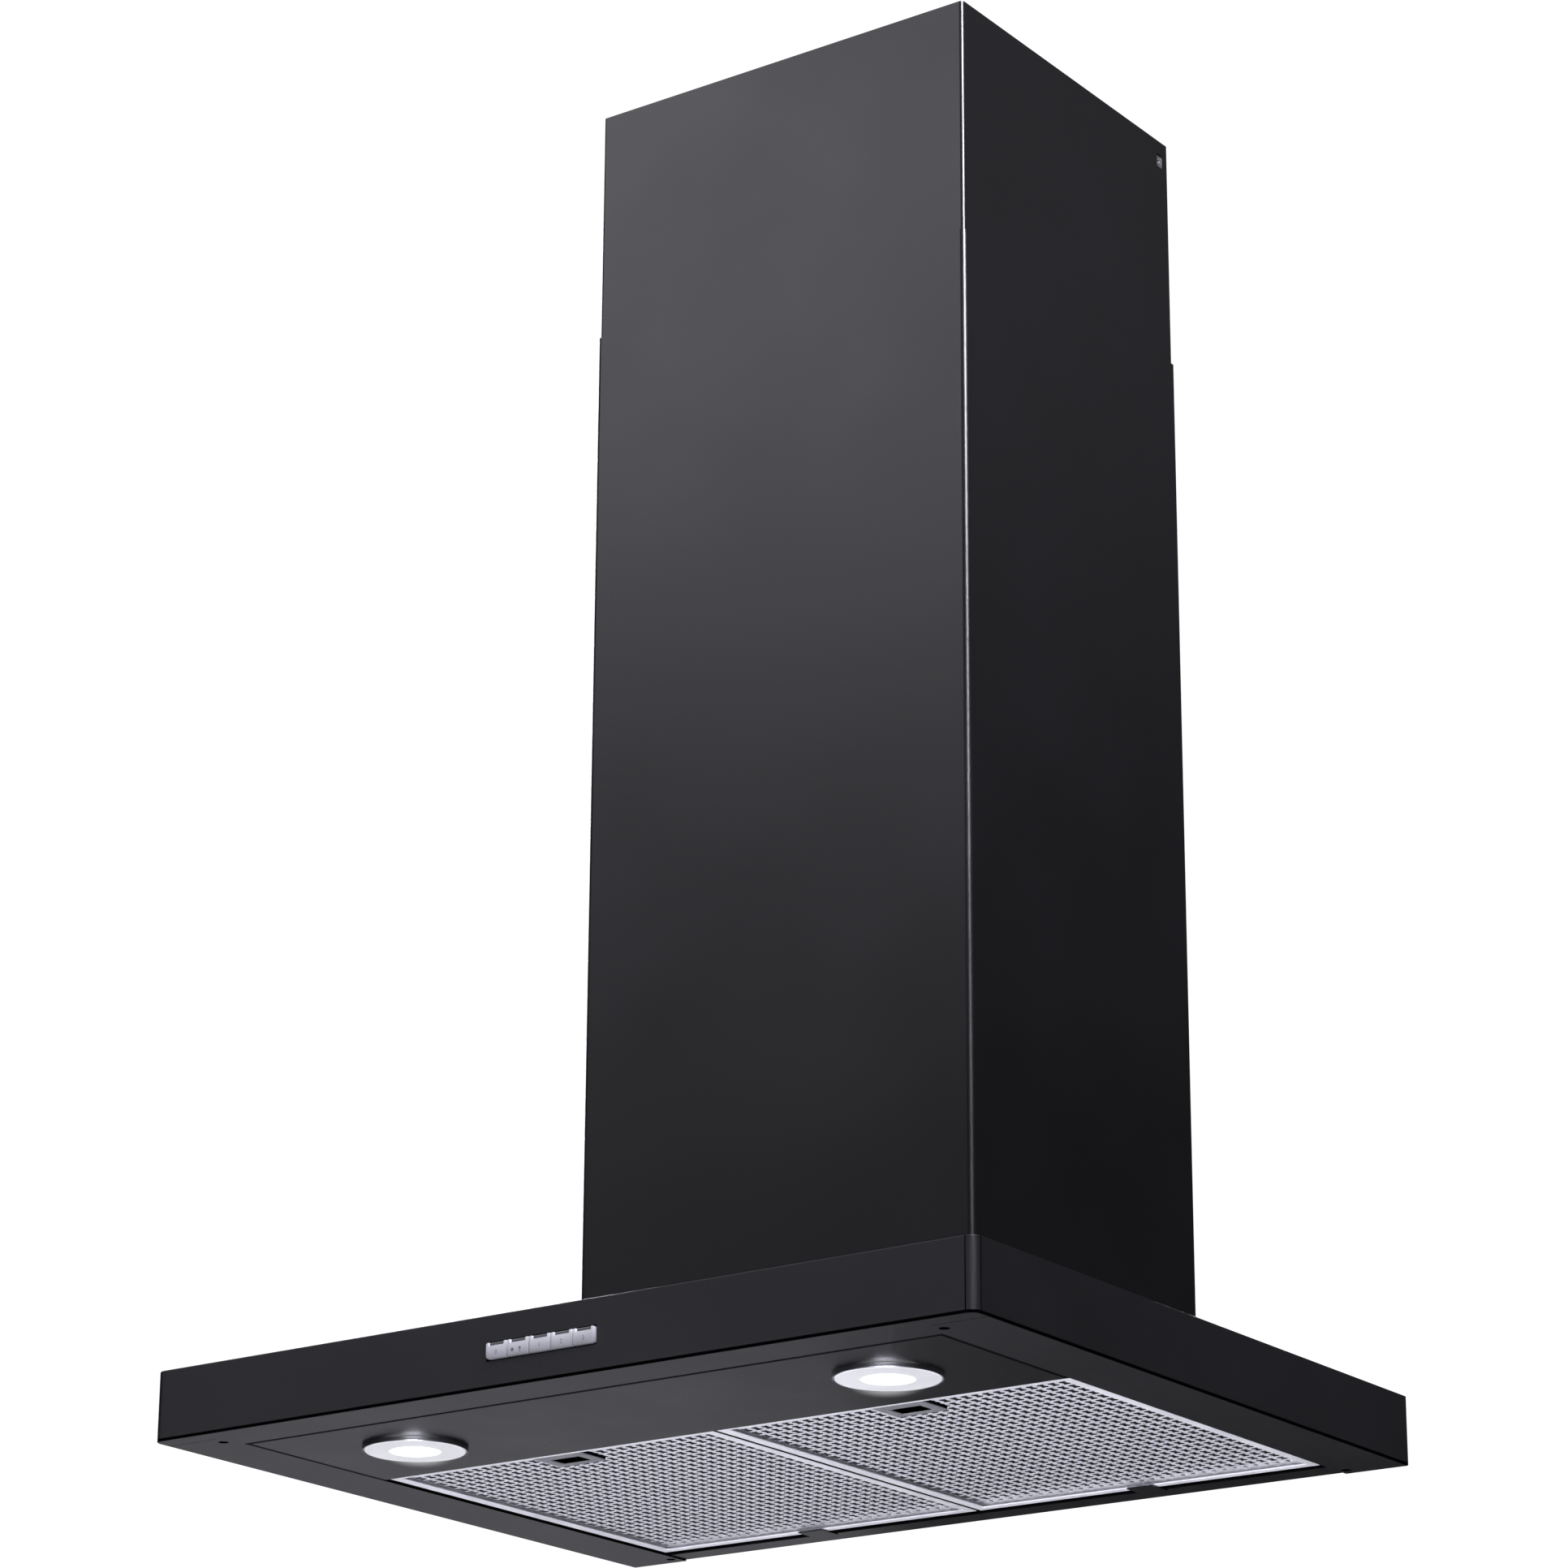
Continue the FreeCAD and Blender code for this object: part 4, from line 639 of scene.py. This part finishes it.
def expanded_sheet(name, low, high, level, cup):
    """A sheet of slit and stretched aluminium: one cell with its hole, repeated and trimmed."""
    middle = Vector((low[0] + CELL[0] / 2, low[1] + CELL[1] / 2, level))
    bpy.ops.object.select_all(action="DESELECT")
    bpy.ops.mesh.primitive_plane_add(size=1, location=middle)
    piece = bpy.context.object
    piece.name = piece.data.name = name
    piece.scale = (CELL[0], CELL[1], 1)
    settle(piece)
    bpy.ops.object.mode_set(mode="EDIT")
    bpy.ops.mesh.select_all(action="SELECT")
    bpy.ops.mesh.inset(thickness=STRAND, use_even_offset=True)
    bpy.ops.mesh.delete(type="ONLY_FACE")
    bpy.ops.object.mode_set(mode="OBJECT")
    side, end = CELL[0] / 2 - STRAND, CELL[1] / 2 - STRAND
    pick(piece, "EDGE", lambda a, b: all(abs(abs(p.x - middle.x) - side) < MATCH for p in (a, b)))
    bpy.ops.mesh.subdivide(number_cuts=len(FLANK) - 2)
    bpy.ops.object.mode_set(mode="OBJECT")
    for way in (1, -1):
        for step, (x, y) in enumerate(FLANK):
            here = middle + way * Vector((side, end * (2 * step / (len(FLANK) - 1) - 1), 0))
            there = middle + way * MM * Vector((x, y, 0))
            pick(piece, "VERT", lambda p: (p - here).length < MATCH)
            bpy.ops.transform.translate(value=there - here)
            bpy.ops.object.mode_set(mode="OBJECT")
    only(piece)
    for axis, pitch in enumerate(CELL):
        repeat = piece.modifiers.new("repeat", "ARRAY")
        repeat.use_relative_offset = False
        repeat.use_constant_offset = True
        repeat.constant_offset_displace = (0, 0, 0)
        repeat.constant_offset_displace[axis] = pitch
        repeat.count = math.ceil((high[axis] - low[axis]) / pitch)
        repeat.use_merge_vertices = True
        repeat.merge_threshold = 0.02 * MM
        bpy.ops.object.modifier_apply(modifier=repeat.name)
    bpy.ops.object.mode_set(mode="EDIT")
    bpy.ops.mesh.select_mode(type="FACE")
    for way in ((1, 0, 0), (0, 1, 0)):
        bpy.ops.mesh.select_all(action="SELECT")
        bpy.ops.mesh.bisect(plane_co=(high[0], high[1], level), plane_no=way, clear_outer=True)
    bpy.ops.object.mode_set(mode="OBJECT")
    (x0, y0), (x1, y1) = cup
    pick(piece, "FACE", lambda c: x0 < c.x < x1 and y0 < c.y < y1)
    bpy.ops.mesh.delete(type="FACE")
    bpy.ops.object.mode_set(mode="OBJECT")
    only(piece)
    wall = piece.modifiers.new("wall", "SOLIDIFY")
    wall.thickness = SHEET
    wall.offset = 0
    bpy.ops.object.modifier_apply(modifier=wall.name)
    return piece


for side in ("left", "right"):
    coat(f"filter_{side}_frame", frame_alloy)
    coat(f"filter_{side}_latch_cup", cup_grey)
    coat(f"filter_{side}_latch_slider", latch_grey)
    low, high = (Vector(c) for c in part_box(f"filter_{side}_mesh"))
    cup_low, cup_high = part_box(f"filter_{side}_latch_cup")
    cup = ((cup_low[0] - CUP_GAP, cup_low[1] - CUP_GAP), (cup_high[0] + CUP_GAP, cup_high[1] + CUP_GAP))
    short = high - Vector((GUTTER if side == "left" else 0, 0, 0))
    face = expanded_sheet(f"filter_{side}_face_sheet", low, short, low.z + OUTER_DEEP, cup)
    fit(face, f"filter_{side}", "mesh_aluminium", mesh_alloy, f"filter_{side}_mesh")
    inner = expanded_sheet(f"filter_{side}_inner_sheet", low, short, low.z + INNER_DEEP, cup)
    fit(inner, f"filter_{side}", "mesh_aluminium", inner_sheet_shade)
    back = expanded_sheet(f"filter_{side}_back_sheet", low, high, high.z - OUTER_DEEP, cup)
    fit(back, f"filter_{side}", "mesh_aluminium", inner_sheet_shade)

# ------------------------------------------------------------------ blower box
# Three folded panels of zinc-coated sheet, with the large leafy spangle of hot-dip zinc: flat
# crystals that each catch the light their own way. The brackets and the clip are the same sheet.
LEAVES = 110
zinc_sheet = surface(
    "zinc_sheet", (0.52, 0.53, 0.55), (0.62, 0.63, 0.65), (0.32, 0.40), scale=14, metal=1.0, grain=1500
)
spangle = zinc_sheet.node_tree
leaf = spangle.nodes.new("ShaderNodeTexVoronoi")
leaf.inputs["Scale"].default_value = LEAVES
spangle.links.new(spangle.nodes["place"].outputs["Object"], leaf.inputs["Vector"])
shade = spangle.nodes.new("ShaderNodeSeparateColor")
spangle.links.new(leaf.outputs["Color"], shade.inputs["Color"])
spangle.links.new(shade.outputs["Red"], spangle.nodes["tone"].inputs["Fac"])
spangle.links.new(shade.outputs["Green"], spangle.nodes["gloss"].inputs["Value"])
for panel in ("blower_wrap", "blower_back", "blower_top"):
    coat(panel, zinc_sheet)
for bracket in ("motor_bracket", "capacitor_clip", "chimney_bracket"):
    coat(bracket, zinc_sheet)

# ------------------------------------------------------------------ screws
# Zinc-plated pan-head screws with a cross recess hold the box, covers, collar and motor arms.
# Their heads are pressed and their threads are rolled.
HEAD, HEAD_TALL, HEAD_ROUND, CROWN = 4 * MM, 2.4 * MM, 1.5 * MM, 1.8 * MM
SHANK, PITCH, RIDGE = 2 * MM, 0.8 * MM, 0.25 * MM
CROSS_LONG, CROSS_WIDE, CROSS_DEEP = 2 * MM, 0.4 * MM, 1.2 * MM
screw_steel = surface(
    "screw_steel", (0.50, 0.50, 0.50), (0.68, 0.67, 0.62), (0.2, 0.32), scale=300, metal=1.0
)


def pan_screw(seat, reach, turn=(0, 0, 0)):
    """A screw whose head sits at a place, its threaded shank running back."""
    profile = [(0, HEAD_TALL), (CROWN, HEAD_TALL)]
    profile += corner(HEAD_ROUND, HEAD - HEAD_ROUND, HEAD_TALL - HEAD_ROUND, 80, 0)
    profile += [(HEAD, 0), (SHANK, 0)]
    depth = PITCH
    while depth < reach - PITCH:
        profile += [(SHANK, -depth + PITCH / 2), (SHANK - RIDGE, -depth)]
        depth += PITCH
    profile += [(SHANK - RIDGE, -reach + RIDGE), (SHANK - 3 * RIDGE, -reach), (0, -reach)]
    piece = turned("screw", (0, 0, 0), profile, steps=24)
    slots = [
        block("slot", (-long, -wide, HEAD_TALL - CROSS_DEEP), (long, wide, HEAD_TALL + MM))
        for long, wide in ((CROSS_LONG, CROSS_WIDE), (CROSS_WIDE, CROSS_LONG))
    ]
    carve(piece, *slots)
    piece.rotation_euler = turn
    piece.location = seat
    settle(piece)
    return piece


def islands(node):
    """The box of each separate screw of a CAD group, from loose triangles that share places."""
    points = [tuple(round(c, 6) for c in v.co) for v in nodes[node].data.vertices]
    group = list(range(len(points)))

    def root(n):
        while group[n] != n:
            n = group[n]
        return n

    first = {}
    for n, point in enumerate(points):
        group[root(n)] = root(first.setdefault(point, n))
    for polygon in nodes[node].data.polygons:
        for vertex in polygon.vertices[1:]:
            group[root(vertex)] = root(polygon.vertices[0])
    boxes = {}
    for n, point in enumerate(points):
        low, high = boxes.setdefault(root(n), (list(point), list(point)))
        for axis in range(3):
            low[axis] = min(low[axis], point[axis])
            high[axis] = max(high[axis], point[axis])
    return sorted(boxes.values())


for node in ("blower_screws", "chimney_screws", "collar_screws", "bracket_screws"):
    screws = []
    for low, high in islands(node):
        x, y, z = ((a + b) / 2 for a, b in zip(low, high))
        if node == "bracket_screws":
            seat = low[0] + HEAD_TALL
            screws.append(pan_screw((seat, y, z), high[0] - seat, (0, -math.pi / 2, 0)))
        else:
            seat = high[2] - HEAD_TALL
            screws.append(pan_screw((x, y, seat), seat - low[2]))
    fit(join(screws, f"{node}_cross_head"), "canopy", "screw_steel", screw_steel, node)

# ------------------------------------------------------------------ scroll, wheel and motor
# The wheel turns in a grey moulded scroll that stands in the box. Its curved blades are pressed
# into a middle web and two rings; the motor sits inside the left inlet on a three-armed bracket.
BLADES, BLADE_DEEP, BLADE_THICK = 36, 10.5 * MM, 0.9 * MM
BLADE_BEND, BLADE_SHIFT, BLADE_SWEEP = 15 * MM, 1.5 * MM, math.radians(44)
SHAFT_BORE, MOTOR_ROUND = 4.05 * MM, 3 * MM
MOTOR_HOLE, MOTOR_FLOOR = 12 * MM, 2 * MM
BEAD_WIDE, BEAD_DEEP = 1.2 * MM, 0.8 * MM
DISH_OUTER, DISH_INNER = 16 * MM, 8 * MM
scroll_grey = surface(
    "scroll_grey", (0.070, 0.073, 0.076), (0.095, 0.098, 0.10), (0.42, 0.55), scale=30, grain=1700, bump=0.2
)
wheel_white = surface(
    "wheel_white", (0.52, 0.52, 0.49), (0.60, 0.60, 0.57), (0.36, 0.46), scale=45, grain=1500, bump=0.12
)
motor_steel = surface(
    "motor_steel",
    (0.24, 0.25, 0.26),
    (0.34, 0.35, 0.36),
    (0.32, 0.44),
    scale=50,
    metal=1.0,
    stretch=(1, 8, 8),
)
for half in ("scroll_left", "scroll_right"):
    coat(half, scroll_grey)
coat("impeller_web", wheel_white)
coat("impeller_rings", wheel_white)
coat("motor_shaft", screw_steel)

web_low, web_high = (Vector(c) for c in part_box("impeller_web"))
blade_low, blade_high = (Vector(c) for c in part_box("impeller_blades"))
wheel_centre = (web_low + web_high) / 2
blade_foot = (web_high.z - web_low.z) / 2 - BLADE_DEEP
bpy.ops.object.select_all(action="DESELECT")
bpy.ops.mesh.primitive_plane_add(size=MM)
blades = bpy.context.object
blades.name = blades.data.name = "impeller_curved_blades"
bpy.ops.object.mode_set(mode="EDIT")
bpy.ops.mesh.select_mode(type="VERT")
bpy.ops.mesh.select_all(action="SELECT")
bpy.ops.mesh.merge(type="CENTER")
bpy.ops.transform.translate(value=(blade_low.x, 0, blade_foot))
bpy.ops.mesh.extrude_region_move(TRANSFORM_OT_translate={"value": (blade_high.x - blade_low.x, 0, 0)})
bpy.ops.mesh.select_all(action="SELECT")
bend = (0, -BLADE_BEND, blade_foot + BLADE_SHIFT)
bpy.ops.mesh.spin(steps=6, angle=BLADE_SWEEP, center=bend, axis=(1, 0, 0))
bpy.ops.object.mode_set(mode="OBJECT")
wall = blades.modifiers.new("wall", "SOLIDIFY")
wall.thickness = BLADE_THICK
wall.offset = 0
bpy.ops.object.modifier_apply(modifier=wall.name)
bpy.ops.object.mode_set(mode="EDIT")
bpy.ops.mesh.select_all(action="SELECT")
bpy.ops.mesh.spin(steps=BLADES, dupli=True, angle=FULL, center=(0, 0, 0), axis=(1, 0, 0))
bpy.ops.mesh.select_all(action="SELECT")
bpy.ops.mesh.remove_doubles(threshold=WELD)
bpy.ops.mesh.normals_make_consistent(inside=False)
bpy.ops.object.mode_set(mode="OBJECT")
blades.location = (0, wheel_centre.y, wheel_centre.z)
settle(blades)
fit(blades, "impeller", "white_plastic", wheel_white, "impeller_blades")

low, high = (Vector(c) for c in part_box("motor"))
radius, length = (high.z - low.z) / 2, high.x - low.x
profile = [(MOTOR_HOLE, 0), (radius - MOTOR_ROUND, 0)]
profile += corner(MOTOR_ROUND, radius - MOTOR_ROUND, MOTOR_ROUND, -90, 0)
for bead in (length / 4, length / 2, length * 3 / 4):
    profile += [(radius, bead - BEAD_WIDE), (radius - BEAD_DEEP, bead - BEAD_WIDE / 2)]
    profile += [(radius - BEAD_DEEP, bead + BEAD_WIDE / 2), (radius, bead + BEAD_WIDE)]
profile += corner(MOTOR_ROUND, radius - MOTOR_ROUND, length - MOTOR_ROUND, 0, 90)
profile += [(DISH_OUTER, length), (DISH_OUTER - MM, length - MOTOR_FLOOR)]
profile += [(DISH_INNER + MM, length - MOTOR_FLOOR), (DISH_INNER, length)]
profile += [(SHAFT_BORE, length), (SHAFT_BORE, MOTOR_FLOOR)]
profile += [(MOTOR_HOLE, MOTOR_FLOOR), (MOTOR_HOLE, 0)]
middle = (low.x, wheel_centre.y, wheel_centre.z)
motor_can = turned("motor_can", middle, profile, turn=(0, math.pi / 2, 0))
fit(motor_can, "canopy", "motor_steel", motor_steel, "motor")

# ------------------------------------------------------------------ capacitor
# The motor's capacitor is a drawn aluminium can with a rolled rim and two spade tabs. A clip of
# zinc-coated sheet holds it to the box's right wall.
CAN_ROUND, CAN_ROLL, CAN_SUNK = 2 * MM, 1.2 * MM, 1.5 * MM
TAB_TALL, TAB_WIDE, TAB_THICK, TAB_APART = 7 * MM, 6 * MM, 0.8 * MM, 8 * MM
drawn_can = surface(
    "drawn_can",
    (0.60, 0.60, 0.61),
    (0.72, 0.72, 0.73),
    (0.22, 0.34),
    scale=30,
    metal=1.0,
    stretch=(1, 1, 9),
)
low, high = (Vector(c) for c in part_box("capacitor"))
middle, radius = (low + high) / 2, (high.x - low.x) / 2
top = high.z - low.z - TAB_TALL
profile = [(0, 0)] + corner(CAN_ROUND, radius - CAN_ROUND, CAN_ROUND, -90, 0)
profile += corner(CAN_ROLL, radius - CAN_ROLL, top - CAN_ROLL, 0, 120)
profile += [(radius - 3 * MM, top - CAN_SUNK), (0, top - CAN_SUNK)]
can = turned("capacitor_can", (middle.x, middle.y, low.z), profile, steps=40)
tabs = []
for x in (middle.x - TAB_APART / 2, middle.x + TAB_APART / 2):
    start = (x - TAB_THICK / 2, middle.y - TAB_WIDE / 2, low.z + top - 2 * MM)
    tabs.append(block("tab", start, (x + TAB_THICK / 2, middle.y + TAB_WIDE / 2, high.z), 0.2 * MM))
fit(join([can, *tabs]), "canopy", "copper_can", drawn_can, "capacitor")

# ------------------------------------------------------------------ terminals and gland
# The mains lead comes in through a black rubber gland in the blower box. Its wires end in an
# off-white moulded box with a snap cover.
coat("terminal_box", driver_case)
coat("terminal_cover", driver_case)
gland_rubber = surface(
    "gland_rubber", (0.012, 0.012, 0.012), (0.022, 0.022, 0.022), (0.6, 0.75), scale=120, grain=2600, bump=0.3
)
coat("cable_gland", gland_rubber)

# ------------------------------------------------------------------ outlet collar and flaps
# A grey moulded spigot for a 150 mm duct is screwed to the top of the blower box. Two black
# half-round flaps on one steel pin lift in the air stream and fall shut.
coat("outlet_collar", scroll_grey)
coat("damper_pin", screw_steel)
coat("damper_flap_front", housing_black)
coat("damper_flap_rear", housing_black)

# ------------------------------------------------------------------ chimney
# Two three-sided covers, folded from the same black painted sheet. The lower one is screwed to
# the canopy, and the upper one slides in it to reach the ceiling.
cover_paint = surface("cover_paint", BLACK, LIT_BLACK, (0.28, 0.33), scale=7)
coat("lower_chimney", cover_paint)
coat("upper_chimney", cover_paint)

# ------------------------------------------------------------------ floor, light and camera
# A plain pale floor well below the hood, a pale studio round it, and a long lens from low on
# the right that looks up at the underside. Floor and studio look brighter to the camera than
# they light the hood, so the black paint stays dark.
FLOOR_SIZE, FLOOR_LEVEL, FLOOR_LIFT = 7, -1.6, 0.45
BACKDROP, ROOM = 1.05, 0.02
CAMERA_PLACE = (1.7546, -2.7089, -0.6446)
CAMERA_TURN, CAMERA_LIFT, CAMERA_ROLL = (math.radians(a) for a in (35.50, -19.68, 0.294))
CAMERA_LENS, FILM = 114.51, 36
bpy.ops.object.select_all(action="DESELECT")
bpy.ops.mesh.primitive_plane_add(size=FLOOR_SIZE, location=(0, 0, FLOOR_LEVEL))
floor = bpy.context.object
floor.name = "studio_floor"
floor_paint = surface("studio_floor_paint", (0.72, 0.72, 0.74), (0.76, 0.76, 0.78), (0.55, 0.65), scale=1)
floor.data.materials.append(floor_paint)
tree = floor_paint.node_tree
seen = tree.nodes.new("ShaderNodeLightPath")
brighter = tree.nodes.new("ShaderNodeMath")
brighter.operation = "MULTIPLY"
brighter.inputs[1].default_value = FLOOR_LIFT
tree.links.new(seen.outputs["Is Camera Ray"], brighter.inputs[0])
shader = tree.nodes["Principled BSDF"]
shader.inputs["Emission Color"].default_value = (1, 1, 1, 1)
tree.links.new(brighter.outputs[0], shader.inputs["Emission Strength"])

world = bpy.data.worlds.new("studio")
world.use_nodes = True
bpy.context.scene.world = world
studio = world.node_tree
wire = studio.links.new
backdrop = studio.nodes["Background"]
backdrop.inputs["Color"].default_value = (1, 1, 1, 1)
backdrop.inputs["Strength"].default_value = BACKDROP
room = studio.nodes.new("ShaderNodeBackground")
room.inputs["Color"].default_value = (0.94, 0.93, 1.0, 1)
room.inputs["Strength"].default_value = ROOM
seen = studio.nodes.new("ShaderNodeLightPath")
choice = studio.nodes.new("ShaderNodeMixShader")
wire(seen.outputs["Is Camera Ray"], choice.inputs["Fac"])
wire(room.outputs["Background"], choice.inputs[1])
wire(backdrop.outputs["Background"], choice.inputs[2])
wire(choice.outputs["Shader"], studio.nodes["World Output"].inputs["Surface"])
bpy.context.scene.view_settings.view_transform = "Standard"


def softbox(name, place, aim, width, height, power, spread=180):
    """A rectangular studio light that points from one place to another."""
    light = bpy.data.lights.new(name, "AREA")
    light.shape = "RECTANGLE"
    light.size = width
    light.size_y = height
    light.energy = power
    light.color = (0.92, 0.92, 1.0)
    light.spread = math.radians(spread)
    lamp = bpy.data.objects.new(name, light)
    bpy.context.scene.collection.objects.link(lamp)
    lamp.location = place
    lamp.rotation_euler = (Vector(aim) - Vector(place)).to_track_quat("-Z", "Y").to_euler()
    lamp.visible_camera = False


softbox("key", (-2.6, -3.2, 3.0), (0, -0.2, 0.6), 2.4, 1.6, 34)
softbox("fill_front", (-2.6, -3.0, 0.9), (0, -0.2, 0.2), 1.6, 1.0, 2)
softbox("corner", (2.6, -1.9, 2.7), (0.15, -0.26, 0.75), 1.2, 1.0, 27, spread=40)
softbox("rear_right", (1.9, 2.2, 2.4), (0.15, -0.1, 0.6), 1.4, 1.4, 0.9)
softbox("low_left", (-0.7, 0.38, -0.25), (0.3, 0.38, -0.25), 1.0, 0.4, 0.36)
softbox("back", (-1.9, 2.4, 1.6), (0, -0.1, 0.5), 1.6, 1.6, 30, spread=50)
softbox("below", (0.9, -1.9, -1.4), (0.0, -0.2, 0.0), 1.2, 1.2, 120)

camera = bpy.data.objects.new("camera", bpy.data.cameras.new("camera"))
bpy.context.scene.collection.objects.link(camera)
back = Vector((
    math.sin(CAMERA_TURN) * math.cos(CAMERA_LIFT),
    -math.cos(CAMERA_TURN) * math.cos(CAMERA_LIFT),
    math.sin(CAMERA_LIFT),
))
level = (-back).cross(Vector((0, 0, 1))).normalized()
upright = level.cross(-back)
right = level * math.cos(CAMERA_ROLL) + upright * math.sin(CAMERA_ROLL)
up = upright * math.cos(CAMERA_ROLL) - level * math.sin(CAMERA_ROLL)
facing = Matrix((right, up, back)).transposed().to_4x4()
camera.matrix_world = Matrix.Translation(CAMERA_PLACE) @ facing
camera.data.sensor_width = FILM
camera.data.lens = CAMERA_LENS
camera.data.clip_end = 50
bpy.context.scene.camera = camera
